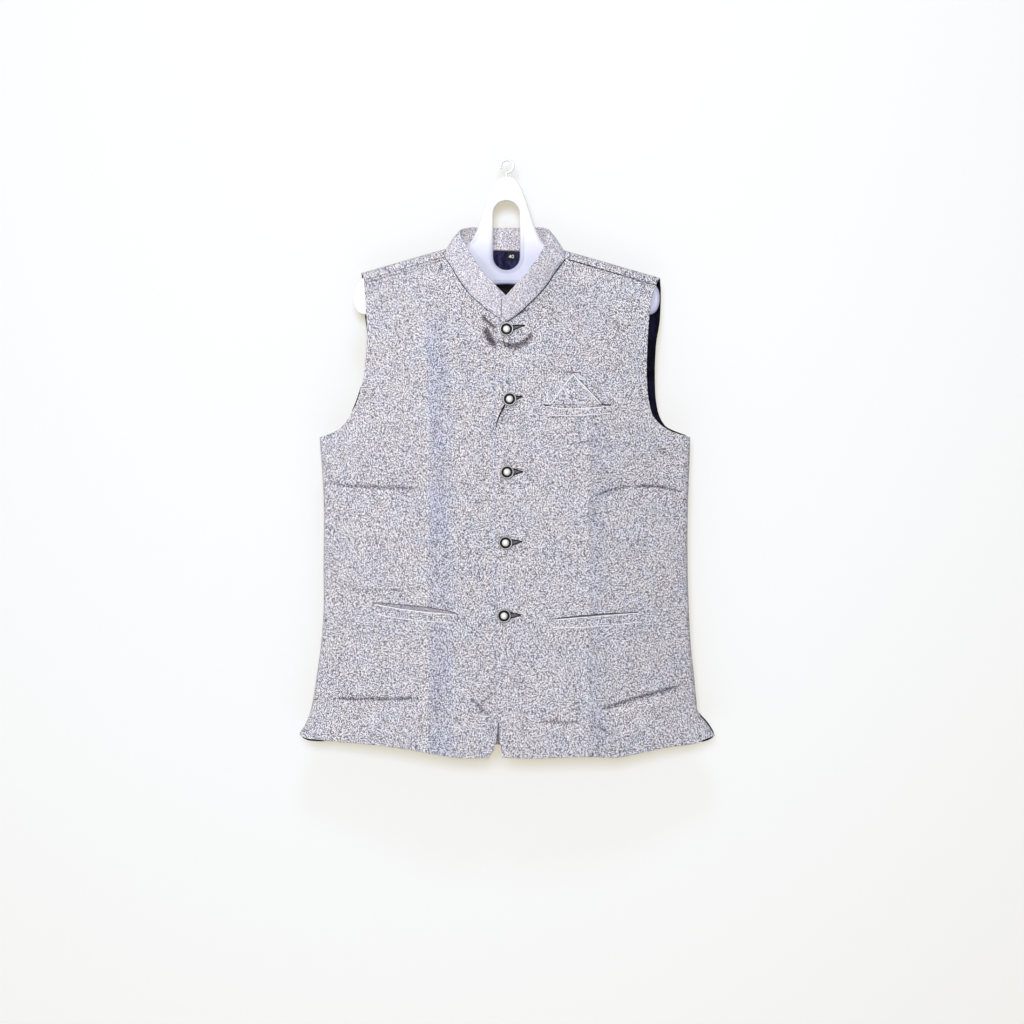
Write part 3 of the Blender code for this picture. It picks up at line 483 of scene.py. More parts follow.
# How far a slit reaches behind its welt, its two skins' heights, and its lip's dark thread, painted shade
# under the lip: radius, taper
SLIT_OVERLAP = 0.8
SLIT_HEIGHTS = (0.12, -0.3)
SLIT_LIP = (0.4, 0.8)
SQUARE_APEX = (89.9, 304.4)
SQUARE_BASE = ((59.2, 345.4), (128.8, 345.6))
SQUARE_TIP = 0.02
SQUARE_HEM = 5.5
SQUARE_HEM_RISES = (0.35, 0.9)
SQUARE_SAG = 0.5
SQUARE_TURN = math.radians(38)

NECK_LABEL = (-32, 30, 170, 208)
SIZE_TAG = (-0.3, 12.3, 121, 131.6)
LABEL_THICKNESS = 0.5
LABEL_WAVE = 0.25
# The size number, x and height from the middle of its tag: the strokes of the 4, and the middle and
# half sizes of the 0
DIGIT_4 = (((-0.9, -2.3), (-0.9, 2.3)), ((-0.9, 2.3), (-3.4, -0.9)), ((-3.4, -0.9), (-0.2, -0.9)))
DIGIT_0 = (2, 0, 1.35, 2.15)
DIGIT_RADIUS = 0.55
DIGIT_LIFT = 0.45

# Rows of stitches: name, x and drop along the row, dash, gap, thread radius, on the under front or not
STITCH_ROWS = (
    ("stitches_shoulder_right", ((-198, 173), (-150, 160), (-92, 141.5)), 3.2, 2.2, 0.32, True),
    ("stitches_shoulder_left", ((86, 141.5), (140, 157), (205, 177)), 3.2, 2.2, 0.32, False),
    ("stitches_chest_top",
     ((54, 345.4), (68.5, 348.4), (106.9, 348.4), (139, 345.2)), 2.4, 2.6, 0.3, False),
    ("stitches_chest_bottom", ((56, 362.6), (92.4, 363.2), (142, 360.2)), 2.4, 2.6, 0.28, False),
)
# Points along a stitch, and its arch: foot and rise
STITCH_POINTS = 5
STITCH_ARCH = (-0.05, 0.25)
# The loose thread under the second button: x and drop along it; its radius, taper and height
LOOSE_THREAD_SIZE = (1.25, 0.4, 0.1)
LOOSE_THREAD = ((-3, 346), (-8.6, 357), (-12.6, 366.5), (-15, 377.5))
ROLL_TAPER = 0.05
# Rolled edges that catch the light, drawn as pale tubes of painted highlight: name, x and drop along,
# radius, height, on the under front
EDGE_ROLLS = (
    ("roll_hip_right_top", ((-184, 620.4), (-146.7, 626.6), (-107.2, 630.8), (-73, 633.6)), 0.6, 1.3, True),
    ("roll_hip_right_low",
     ((-182, 633.4), (-155.1, 638.3), (-132.6, 640.9), (-105.9, 642.8), (-72, 644.2)), 0.55, 1.3, True),
    ("roll_hip_left_top", ((63, 641), (94.7, 638.4), (136.7, 635.4), (181, 632.8)), 0.6, 1.3, False),
    ("roll_hip_left_low", ((61, 651.4), (96, 651.4), (135, 649.2), (183.5, 645)), 0.55, 1.3, False),
    ("roll_chest_top", ((53.5, 347.9), (70, 350.6), (106.9, 350.7), (139, 347.4)), 0.6, 1.3, False),
    ("roll_chest_low", ((54, 360.2), (92.4, 360.7), (142.8, 357)), 0.55, 1.3, False),
    ("roll_square_right", ((89.8, 304), (109.6, 324.2), (129.2, 344.6)), 0.95, 2.5, False),
    ("roll_square_left", ((89.9, 304.4), (75, 324.4), (60, 344.8)), 0.75, 1.9, False),
)
# Dark lines: painted shade in the open seams at the neck and shoulders, the chest pocket's bars, the
# square's painted shadow and a hip welt's end: name, x and drop along, radius, height, on the under front
SEAM_LINE_TAPER = 0.8
SEAM_LINES = (
    ("seam_neck_right", NECKLINE_RIGHT + ((-1, 230), (7, 233.5)), 0.32, 0, True),
    ("seam_neck_left", NECKLINE_LEFT, 0.6, 0, False),
    ("seam_shoulder_right", ((-198, 171.8), (-150, 158.9), (-92, 140.6)), 0.2, 0, True),
    ("seam_shoulder_left", ((86, 140.6), (140, 156), (205, 175.8)), 0.28, 0, False),
    ("bar_chest_right", ((51, 345.9), (54, 346.2), (57.5, 346.6)), 1, 0.2, False),
    ("bar_chest_left", ((130, 344.6), (137, 345.2), (143.5, 345.2)), 0.9, 0.2, False),
    ("shadow_square", ((92, 304.6), (112.4, 325), (132, 345)), 0.7, 0.5, False),
    ("welt_end_hip_right", ((-69.4, 631.6), (-67.6, 634.6), (-67.8, 638.8), (-69, 643)), 0.35, 0.1, True),
)
# The lining's piping where it peeks out past the cloth's edge: name, x and drop along, radius, under
PIPINGS = (
    ("satin_piping_hem_right", ((-285.5, 807.2), (-278, 809.8), (-268, 810.6), (-254, 811)), 1.2, True),
    ("satin_piping_hem_left", ((270, 812.6), (279, 810), (288, 806.6)), 1.25, False),
    ("satin_piping_vent_left", "side", 1.35, False),
    ("satin_piping_armhole_right", "armhole", 0.75, True),
    ("satin_piping_armhole_left",
     ((203.6, 359.2), (212, 368.9), (223.4, 376.4), (238, 382.3), (250, 385.6)), 1.1, False),
)
PIPING_VENT = (775, 803)
PIPING_ARMHOLE = (318, 362)
PIPING_OUT = 0.5
PIPING_LIFT = 0.2
PIPING_END = 0.12

BOARD_X = -0.8
BOARD_HALF = 3.5
BOARD_EDGE = 2.2
BOARD_HUMP = ((0, 22), (9, 23.6), (17, 31), (23, 43), (32, 70), (41, 96), (49, 112))
BOARD_ARM_FROM = 62
BOARD_ARM_TO = 199
BOARD_UNDER_RIDGE = 4.8
BOARD_POINTS = 520
BOARD_SMOOTHINGS = 3
SLOT_POINTS = 160
SLOT_SMOOTHINGS = 1
BOARD_END = ((207.5, 170.5), (213.2, 180), (215.2, 192), (213.6, 204), (208, 213.4),
             (199, 216.6))
BOARD_BOTTOM = ((199, 216.6), (150, 205.4), (100, 193), (50, 180.4), (20, 174.2), (0, 172.8))
SLOT_HALF = 18.6
SLOT_TOP = 56
SLOT_BOTTOM = 153

BOARD_BEAD = 0.35
BEAD_STEPS = (0.5, 1, 1.5, 2, 2.6, 3.2, 3.8, 4.6)

WIRE_RADIUS = 1.8
HOOK_INNER = 7
HOOK_TIP_ANGLE = 205
HOOK_FOOT = 21.7

# ---------------------------------------------------------------- camera and studio

CAMERA_PLACE = (6.9, -1730, -492.7)
CAMERA_LENS = 43.3
SENSOR_WIDTH = 36
# The wall's face lies just behind the back. Its glow and its paint give the white of the backdrop
WALL_Y = 43.5
WALL_PAINT = (0.56, 0.66, 0.90)
WALL_GLOW = (0.408, 0.320, 0.094)
WORLD_COLOUR = (0.93, 0.96, 1.04)
WORLD_STRENGTH = 0.22
FLOOR_DROP = 1750
STAGE_REACH = 3000

# Lights: name, place, aim, width and height in metres, watts, colour, whether the wall takes it too
LIGHTS = (
    ("soft_front", (-150, -3200, 100), (0, 0, -450), (1.1, 1.1), 68, (1, 1, 1), True),
    ("key_left", (-2300, -2200, 900), (0, 0, -450), (0.7, 0.7), 38, (1, 0.97, 0.94), False),
    ("key_above", (0, -1300, 1900), (0, 0, -450), (0.7, 0.4), 13, (1, 0.99, 0.98), True),
)


def ease(t):
    """Smooth step from 0 to 1."""
    t = np.clip(t, 0, 1)
    return t * t * (3 - 2 * t)


def unit(vectors):
    """Vectors brought to length 1."""
    return vectors / np.linalg.norm(vectors, axis=-1, keepdims=True)


def way_along(points):
    """How far along its line each point is."""
    return np.append(0, np.cumsum(np.linalg.norm(np.diff(points, axis=0), axis=1)))


def at_ways(points, way, wanted):
    """A line's points at the distances wanted, straight between the ones it has."""
    return np.column_stack([np.interp(wanted, way, column) for column in points.T])


def along(rows, at):
    """Values of a table's other columns where its first column is `at`: a cubic through the rows."""
    table = np.array(rows, float)
    key, value = table[:, 0], table[:, 1:]
    slope = np.gradient(value, key, axis=0)
    at = np.asarray(at, float)
    i = np.clip(np.searchsorted(key, at) - 1, 0, len(key) - 2)
    step = (key[i + 1] - key[i])[..., None]
    t = np.clip((at - key[i])[..., None] / step, 0, 1)
    start = (1 + 2 * t) * (1 - t) ** 2 * value[i] + t * (1 - t) ** 2 * step * slope[i]
    end = t * t * (3 - 2 * t) * value[i + 1] + t * t * (t - 1) * step * slope[i + 1]
    return start + end


def trace(points, steps, crowding=0):
    """steps + 1 points along a smooth curve through the given ones, crowded towards both ends."""
    points = np.array(points, float)
    way = way_along(points)
    share = np.linspace(0, 1, steps + 1)
    share = share - crowding * np.sin(2 * math.pi * share) / (2 * math.pi)
    return along(np.column_stack((way, points)), share * way[-1])


def finer(table, fine):
    """A table of places with `fine` even steps put between each pair."""
    return np.interp(np.linspace(0, len(table) - 1, (len(table) - 1) * fine + 1),
                     np.arange(len(table)), table)


# ---------------------------------------------------------------- the garment's surfaces


def ridge(x):
    """Drop of the shoulder's ridge: two slopes, rounded into each other, tilted a little."""
    slopes = RIDGE_SLOPE * np.sqrt(x * x + RIDGE_ROUND ** 2)
    return RIDGE_CENTRE + RIDGE_TILT * np.tanh(x / RIDGE_TILT_WIDTH) + slopes


def seam_drop(x):
    """Drop of the forward shoulder seam on the fronts."""
    return ridge(x) + TOP_HEIGHT + GAP / 2


def roundness(x, drop):
    """How far out a point is on the bag, x / half width, with that width and BODY's values there."""
    body = along(BODY, drop)
    half = np.where(x < 0, body[..., 0], body[..., 1])
    return np.clip(np.abs(x) / half, 0, 1), half, body


def edge_roll(r, half):
    """Share of the rolled edge's depth: sqrt(1 - r^(2 half / EDGE_ROLL)), so about a quarter round."""
    return np.sqrt(np.clip(1 - r ** (2 * half / EDGE_ROLL), 0, 1))


def bag(x, drop, depth_column):
    """Depth of a flat bag: (1 - r^2.6)^1.2 plus a rolled edge and, low down, the vent's spread times
    r^6, where r = x / half width."""
    r, half, body = roundness(x, drop)
    flat = (1 - r ** BAG_POWER) ** BAG_FULLNESS
    depth = body[..., depth_column]
    vent = VENT_SPREAD * ease((drop - VENT_TOP) / VENT_LENGTH) * r ** 6
    return (depth - EDGE_ROLL) * flat + EDGE_ROLL * edge_roll(r, half) + vent


def faded(drop, start, end, start_fade=FOLD_FADE):
    """Share of a long fold that shows: none at its ends, all of it between them."""
    return ease((drop - start) / start_fade) * ease((end - drop) / FOLD_FADE)


def leaning(drop, centre, lean, start):
    """x of a long line that leans by `lean` where it starts and is upright further down."""
    return centre + lean * (1 - ease((drop - start) / LEAN_LENGTH))


def pressed_ridge(x, drop, line, start, end, rise, half):
    """Height of a pressed ridge, rise * (1 - distance / half)^2, faded at both of its ends."""
    return rise * np.clip(1 - np.abs(x - line) / half, 0, 1) ** 2 * faded(drop, start, end)


def folds(x, drop):
    """Height of the long pressed folds."""
    return sum(pressed_ridge(x, drop, centre, *rest) for centre, *rest in FOLDS)


def creases(x, drop, table, narrow=1):
    """Height of the soft creases: for each, rise * exp(-(s / w)^2), with s the distance to its bowed
    line and w its half width on that side, faded at both of its ends. `narrow` scales the widths."""
    height = np.zeros(np.shape(x))
    for x0, drop0, x1, drop1, bow, rise, above, below, fade in table:
        length = math.hypot(x1 - x0, drop1 - drop0)
        along_x, along_drop = (x1 - x0) / length, (drop1 - drop0) / length
        t = ((x - x0) * along_x + (drop - drop0) * along_drop) / length
        s = (drop - drop0) * along_x - (x - x0) * along_drop
        s = s - bow * 4 * t * (1 - t)
        width = np.where(s < 0, above, below)
        ends = ease(t / fade) * ease((1 - t) / fade)
        height = height + rise * np.exp(-(s / (width * narrow)) ** 2) * ends
    return height


def ripples(x, drop):
    """Height of the cloth's slight unevenness: a few turned sine waves, stilled at the side edges."""
    height = np.zeros(np.shape(x))
    for across, down, turn, phase, rise in RIPPLES:
        a = x * math.cos(turn) + drop * math.sin(turn)
        b = drop * math.cos(turn) - x * math.sin(turn)
        height = height + rise * np.sin(2 * math.pi * a / across + phase) * np.sin(2 * math.pi * b / down)
    r, _, _ = roundness(x, drop)
    return height * (1 - r ** 8)


def pressed_edges(x, drop):
    """Height of the narrow edges pressed into the folds, which lean outwards towards their tops."""
    return sum(pressed_ridge(x, drop, leaning(drop, centre, lean, start), start, *rest)
               for centre, lean, start, *rest in PRESSED_EDGES)


def over_edge(drop):
    """x of the left front's edge, which laps over the right front."""
    edge = np.array(FRONT_EDGE_LEFT, float)
    return along(edge[:, ::-1], drop)[..., 0]


def painted_shading_of(x, drop, table, under=None):
    """Painted shading of the cloth, as two marks: negative for painted shade, positive for painted light.

    Beside each pressed edge lies a band of painted shade that starts sharply and fades over its width, and
    a narrow band of painted highlight before it. A lap's edge gets a painted highlight, and painted shade
    on what it covers. Creases give tanh(height / 2), times TROUGH_MARK or RIDGE_MARK: painted shade in
    their troughs, painted light on their ridges.
    """
    marks = np.zeros(np.shape(x))
    for centre, lean, start, end, width, strength in PAINTED_SHADE_BANDS:
        t = (x - leaning(drop, centre, lean, start)) / width
        ends = faded(drop, start, end, BAND_FADE)
        uneven = 0.75 + 0.25 * np.sin(drop / 23 + centre) * np.sin(drop / 61)
        # Painted shade in a band beside the line, and painted highlight in a narrow band before it
        band = np.clip(t * 16, 0, 1) * ease((1 - t) * 1.6)
        painted_highlight = np.clip(1 + t * 3.6, 0, 1) * np.clip(-t * 14, 0, 1)
        marks = marks - strength * (band - BAND_PAINTED_HIGHLIGHT * painted_highlight) * ends * uneven
    # Painted shade on the right front under the left front's edge, and painted highlight along that edge
    if under is not None:
        strength, middle, half = SHADE_UNDER_LAP if under else PAINTED_HIGHLIGHT_ON_LAP
        marks = marks + strength * np.exp(-((x - over_edge(drop) - middle) / half) ** 2)
    # Painted shade in the creases' troughs and painted light on their ridges
    crease_painted_shading = np.tanh(creases(x, drop, table, CREASE_NARROWING) / 2)
    return marks, crease_painted_shading * np.where(crease_painted_shading > 0, RIDGE_MARK, TROUGH_MARK)


def lap(x, drop):
    """How far the right front steps back to pass under the left one's edge."""
    return LAP_STEP * ease((x - over_edge(drop) + LAP_FAR) / (LAP_FAR - LAP_NEAR))


def stand_away(x, drop, height, half, centre_drop, reach):
    """How far the cloth stands away at the neck: height * (1 - (x / half)^2)^1.5, fading up and down."""
    return height * np.clip(1 - (x / half) ** 2, 0, 1) ** 1.5 * np.exp(-((drop - centre_drop) / reach) ** 2)


def held(x, drop, fall, crease_fall):
    """Share of the creases that shows: none where the cloth meets the shoulder and the sides."""
    return ease(fall / crease_fall) * (1 - roundness(x, drop)[0] ** 20)


def front_place(x, drop, under=False):
    """The fronts: from the shoulder's front they swell out to the bag's depth."""
    fall = drop - ridge(x) - TOP_HEIGHT
    depth = TOP_HALF + (bag(x, drop, 2) - TOP_HALF) * ease(fall / FALL_FRONT) + folds(x, drop)
    depth = depth + stand_away(x, drop, *FRONT_STAND) * ease(fall / FRONT_STAND_FALL)
    relief = creases(x, drop, FRONT_CREASES) + pressed_edges(x, drop) + ripples(x, drop)
    depth = depth + relief * held(x, drop, fall, FRONT_CREASE_FALL)
    if under:
        depth = depth - lap(x, drop)
    return np.stack((x, -np.maximum(depth, GAP / 2), -drop), axis=-1)


def back_place(x, way):
    """The back: half an ellipse over the ridge, then down, standing away behind the neck."""
    angle = np.clip(way / TOP_WAY, -1, 1) * math.pi / 2
    fall = np.maximum(way - TOP_WAY, 0)
    drop = ridge(x) + TOP_HEIGHT * (1 - np.cos(angle)) + fall
    depth = TOP_HALF * np.sin(angle) + (bag(x, drop, 3) - TOP_HALF) * ease(fall / FALL_BACK)
    depth = depth + stand_away(x, drop, *BACK_STAND) * ease(angle / BACK_STAND_ANGLE)
    relief = creases(x, drop, BACK_CREASES) + ripples(-x, drop)
    depth = depth + relief * held(x, drop, fall, BACK_CREASE_FALL)
    depth = np.where(way > TOP_WAY, np.maximum(depth, GAP / 2), depth)
    return np.stack((x, depth, -drop), axis=-1)


def normals(place, x, other, faces_back):
    """Outward normals of a surface, from one-sided differences towards the middle and downwards."""
    step = 0.2
    inward = np.where(x < 0, step, -step)
    here = place(x, other)
    across = (place(x + inward, other) - here) / inward[..., None]
    down = (place(x, other + step) - here) / step
    normal = unit(np.cross(across, down))
    return normal if faces_back else -normal


def front_surface(x, drop, under):
    """A front's points and outward normals."""
    place = functools.partial(front_place, under=under)
    return place(x, drop), normals(place, x, drop, False)


def back_surface(x, way):
    """The back's points and outward normals."""
    return back_place(x, way), normals(back_place, x, way, True)


def flat_map(x, drop):
    """Where each point of a small flat piece lies in the cloth, in millimetres."""
    return np.stack((x, -drop), axis=-1)


def flat_cloth(x, length, drop):
    """Where each point lay in the flat cloth, in millimetres: its rolled side is let out sideways."""
    r, half, _ = roundness(x, drop)
    let_out = 0.6 * EDGE_ROLL * (1 - edge_roll(r, half))
    return np.stack((x + np.sign(x) * let_out, -length), axis=-1)


# ---------------------------------------------------------------- the grids


def front_grid(front, fine, fine_across):
    """x and drop of a front's grid: rows from its inner to its outer outline, level at the underarm."""
    neck = trace(front["neckline"], NECK_STEPS * fine)
    neck[0, 1] = seam_drop(neck[0, 0])
    edge = trace(front["edge"], EDGE_STEPS * fine, EDGE_CROWDING)
    edge[0] = front["corner"]
    turn = np.linspace(neck[-1], edge[0], fine + 1)[1:-1]
    inner = np.vstack((neck, turn, edge))
    rows = len(inner)
    row = np.arange(rows)[:, None] / fine
    last = row[-1, 0]
    arm = trace(front["armhole"], ARM_STEPS * fine)
    arm[0, 1] = seam_drop(arm[0, 0])
    side_drop = np.linspace(arm[-1, 1], front["hem"][0][1], rows - len(arm) + 1)[1:]
    side_x = front["sign"] * along(BODY, side_drop)[:, front["column"]]
    outer = np.vstack((arm, np.column_stack((side_x, side_drop))))
    fold = front["fold"]
    first = inner[:, :1] + (fold - inner[:, :1]) * finer(front["to_fold"], fine_across)
    second = fold + (outer[:, :1] - fold) * finer((0, *FOLD_TO_SIDE), fine_across)[1:]
    x = np.hstack((first, second))
    share = (x - inner[:, :1]) / (outer[:, :1] - inner[:, :1])
    bend = ROW_BEND * np.clip(1 - np.abs(row - ARM_STEPS) / ROW_BEND_REACH, 0, 1)
    drop = inner[:, 1:] + (outer[:, 1:] - inner[:, 1:]) * (share + bend * share * (1 - share))
    to_seam = seam_drop(x[0]) - drop[0]
    drop = drop + to_seam * np.clip(1 - row / NECK_STEPS, 0, 1) ** 2
    if front["corner"][1] < neck[-1, 1]:
        near = np.clip(1 - np.abs(row - NECK_STEPS - 1), 0, 1)
        drop = drop + CORNER_SAG * near * (1 - share) * np.clip(share / 0.05, 0, 1)
    hem = sorted(front["hem"])
    to_hem = along(hem, x[-1])[:, 0] - drop[-1]
    drop = drop + to_hem * np.clip((row - ARM_STEPS) / (last - ARM_STEPS), 0, 1) ** 2
    return x, drop


def back_half(sign, neck_half, tip, armhole, column, fine):
    """x and way of half of the back's fine grid, from its middle outwards."""
    strap_rows = len(STRAP_WAYS)
    last = strap_rows + BACK_ARM_STEPS + BACK_SIDE_STEPS
    row = np.linspace(0, last, last * fine + 1)
    arm = trace(armhole, BACK_ARM_STEPS * fine)
    hem_end = BACK_HEM[0] if sign < 0 else BACK_HEM[-1]
    side_drop = np.linspace(arm[-1, 1], hem_end[1], BACK_SIDE_STEPS * fine + 1)[1:]
    side_half = along(BODY, side_drop)[:, column]
    flare = np.clip((side_drop - VENT_TOP) / (side_drop[-1] - VENT_TOP), 0, 1) ** 2
    side_half = side_half + (abs(hem_end[0]) - side_half[-1]) * flare
    strap = np.interp(row[:strap_rows * fine], np.arange(strap_rows), STRAP_WAYS)
    tip_x = np.interp(strap, (STRAP_WAYS[0], 0, STRAP_WAYS[-1]), (tip[0], tip[1], arm[0, 0]))
    outer_x = np.concatenate((tip_x, arm[:, 0], sign * side_half))
    outer_drop = np.concatenate((arm[:, 1], side_drop))
    centre_drop = np.linspace(BACK_TOP_DROP, BACK_HEM[4][1], len(outer_drop))
    neck_x = sign * neck_half * (1 - 0.04 * np.clip(row / NECK_ROW, 0, 1) ** 1.5)
    neckline = np.array(BACK_NECKLINE)
    across_neck = finer(neckline[:, 0] / neckline[-1, 0], fine)
    top_x = neck_x[:, None] * across_neck
    beyond = finer((0, *ACROSS_STRAP), fine)[1:]
    top_x = np.hstack((top_x, neck_x[:, None] + (outer_x - neck_x)[:, None] * beyond))
    across_body = finer(ACROSS_BODY, fine)
    body_x = outer_x[:, None] * across_body
    blend = ease((row - NECK_ROW) / (strap_rows - NECK_ROW))[:, None]
    x = top_x + (body_x - top_x) * blend
    drop = centre_drop[:, None] + (outer_drop - centre_drop)[:, None] * across_body
    to_hem = along(BACK_HEM, x[-1])[:, 0] - drop[-1]
    drop = drop + to_hem * np.linspace(0, 1, len(outer_drop))[:, None] ** 4
    below = drop - ridge(x[strap_rows * fine:]) - TOP_HEIGHT + TOP_WAY
    over_strap = STRAP_WAYS[-1] + (below[:1] - STRAP_WAYS[-1]) * np.clip(row - strap_rows + 1, 0, 1)[:, None]
    by_strap = np.interp(row, np.arange(strap_rows), STRAP_WAYS)[:, None]
    by_strap = np.where(row[:, None] > strap_rows - 1, over_strap, by_strap)
    neck_way = np.full(x.shape[1], neckline[-1, 1])
    neck_way[:len(across_neck)] = along(neckline, across_neck * neckline[-1, 0])[:, 0]
    down = np.clip((row - NECK_ROW) / (strap_rows - NECK_ROW), 0, 1)[:, None]
    by_neck = neck_way + (below[:1] - neck_way) * down
    beside_neck = np.clip(np.arange(x.shape[1]) / fine - len(neckline) + 1, 0, 1)
    mixed = by_neck + (by_strap - by_neck) * beside_neck
    way = np.where(row[:, None] < NECK_ROW, by_strap, mixed)
    way[strap_rows * fine:] = below
    return x, way


def back_grid(fine):
    """x and way of the back's fine grid, and which of its cells exist: none in the neck opening."""
    right = back_half(-1, NECK_HALF_RIGHT, SHOULDER_TIP_RIGHT, BACK_ARMHOLE_RIGHT, 0, fine)
    left = back_half(1, NECK_HALF_LEFT, SHOULDER_TIP_LEFT, BACK_ARMHOLE_LEFT, 1, fine)
    x, way = (np.hstack((r[:, :0:-1], l)) for r, l in zip(right, left))
    keep = np.ones((x.shape[0] - 1, x.shape[1] - 1), bool)
    middle = x.shape[1] // 2
    reach = (len(BACK_NECKLINE) - 1) * fine
    keep[:NECK_ROW * fine, middle - reach:middle + reach] = False
    return x, way, keep


# ---------------------------------------------------------------- meshes


def mesh_object(name, points, faces, uv=None, material=None, marks=None):
    """A smooth-shaded object from points in millimetres and arrays of faces, with its cloth map and
    its painted shading at each point: painted shade (negative) or painted light (positive), of the
    folds and laps and of the creases."""
    loops = np.concatenate([part.ravel() for part in faces])
    sizes = np.concatenate([np.full(len(part), part.shape[1]) for part in faces])
    mesh = bpy.data.meshes.new(name)
    mesh.vertices.add(len(points))
    mesh.vertices.foreach_set("co", (np.asarray(points) * MM).astype(np.float32).ravel())
    mesh.loops.add(len(loops))
    mesh.loops.foreach_set("vertex_index", loops.astype(np.int32))
    mesh.polygons.add(len(sizes))
    mesh.polygons.foreach_set("loop_start", (np.cumsum(sizes) - sizes).astype(np.int32))
    mesh.update(calc_edges=True)
    if uv is not None:
        layer = mesh.uv_layers.new(name="cloth")
        layer.data.foreach_set("uv", (uv[loops] * MM).astype(np.float32).ravel())
    if marks is not None:
        for key, values in zip(("painted_shade_light", "crease_painted_shading"), marks):
            mesh.attributes.new(key, "FLOAT", "POINT").data.foreach_set("value", values.astype(np.float32))
    mesh.polygons.foreach_set("use_smooth", np.ones(len(sizes), bool))
    mesh.validate()
    if material:
        mesh.materials.append(material)
    made = bpy.data.objects.new(name, mesh)
    bpy.context.scene.collection.objects.link(made)
    return made


def rim_of(cells, size):
    """The edges that only one cell has, as pairs of point numbers in that cell's order."""
    edges = np.vstack([cells[:, [k, (k + 1) % 4]] for k in range(4)])
    key = np.sort(edges, axis=1) @ (size, 1)
    _, index, count = np.unique(key, return_index=True, return_counts=True)
    return edges[index[count == 1]]


def facing(points, faces):
    """Which way each face looks, from its first three corners."""
    first, second, third = (points[faces[:, k]] for k in range(3))
    return np.cross(second - first, third - first)


def towards_middle(values, cells, edge):
    """From each of the edge's points to the mean of the middles of the cells that touch it."""
    middle = values[cells].mean(axis=1)
    total = np.zeros(values.shape)
    touch = np.zeros(len(values))
    for k in range(4):
        np.add.at(total, cells[:, k], middle)
        np.add.at(touch, cells[:, k], 1)
    return total[edge] / touch[edge, None] - values[edge]


def shell(name, outer, inner, uv, material, keep=None, painted_shading=(NO_PAINTED_SHADING, NO_PAINTED_SHADING)):
    """A wall of cloth between two grids of points, with a half-round rim where the cloth ends.

    Both skins stop short of the grid's edge by an inset of up to half the wall's thickness. The rim
    between them lies at edge + inset * (1 - sin(angle)), across the wall by (1 - cos(angle)) / 2.
    The last argument gives the painted shading marks, painted shade and painted light, of the outer
    skin, and those of the inner.
    """
    rows, columns = outer.shape[:2]
    if keep is None:
        keep = np.ones((rows - 1, columns - 1), bool)
    total = rows * columns
    number = np.arange(total).reshape(rows, columns)
    j, i = np.nonzero(keep)
    cells = np.column_stack((number[j, i], number[j, i + 1], number[j + 1, i + 1], number[j + 1, i]))
    rim = rim_of(cells, total)
    edge = np.unique(rim)
    front, back, flat = (grid.reshape(total, -1).copy() for grid in (outer, inner, uv))
    across = back[edge] - front[edge]
    thickness = np.linalg.norm(across, axis=1, keepdims=True)
    inward = towards_middle(front, cells, edge)
    inward = inward - (inward * across).sum(axis=1, keepdims=True) / thickness ** 2 * across
    length = np.maximum(np.linalg.norm(inward, axis=1, keepdims=True), 1e-6)
    inset = np.minimum(thickness / 2, 1.6 * length) / length
    inward_flat = towards_middle(flat, cells, edge) * inset
    inward = inward * inset
    brink, brink_flat = front[edge].copy(), flat[edge].copy()
    front[edge] = brink + inward
    back[edge] = brink + across + inward
    flat[edge] = brink_flat + inward_flat
    points, maps = [front, back], [flat, flat]
    for angle in np.linspace(0, math.pi, RIM_STEPS + 1)[1:-1]:
        round_in = 1 - math.sin(angle)
        points.append(brink + inward * round_in + across * (1 - math.cos(angle)) / 2)
        maps.append(brink_flat + inward_flat * round_in)
    place = np.zeros(total, int)
    place[edge] = np.arange(len(edge))
    between = [place[rim] + 2 * total + k * len(edge) for k in range(RIM_STEPS - 1)]
    rings = [rim, *between, rim + total]
    faces = [cells, cells[:, ::-1] + total]
    for near, far in zip(rings, rings[1:]):
        faces.append(np.column_stack((near[:, 1], near[:, 0], far[:, 0], far[:, 1])))
    if ((front - back)[cells[:, 0]] * facing(front, cells)).sum() < 0:
        faces = [part[:, ::-1] for part in faces]
    points, maps = np.vstack(points), np.vstack(maps)
    marks = np.zeros((2, len(points)))
    for start, side in zip((0, total), painted_shading):
        for row, values in zip(marks, side):
            row[start:start + total] = np.broadcast_to(values, outer.shape[:2]).ravel()
    used = np.unique(np.concatenate([part.ravel() for part in faces]))
    slot = np.zeros(len(points), int)
    slot[used] = np.arange(len(used))
    return mesh_object(name, points[used], [slot[part] for part in faces], maps[used], material,
                       marks[:, used])


def declare(piece, nodes=(), sheet=None):
    """Rides the piece on the body and hides the solids that it stands for."""
    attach(piece, BODY_NAME)
    if nodes:
        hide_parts(*nodes)


def cut_of(outer, keep):
    """The cut of a grid of points: the area of its cells in square metres."""
    a = outer[1:, 1:] - outer[:-1, :-1]
    b = outer[1:, :-1] - outer[:-1, 1:]
    area = np.linalg.norm(np.cross(a, b), axis=-1) / 2
    if keep is not None:
        area = area[keep]
    return float(area.sum()) * MM * MM


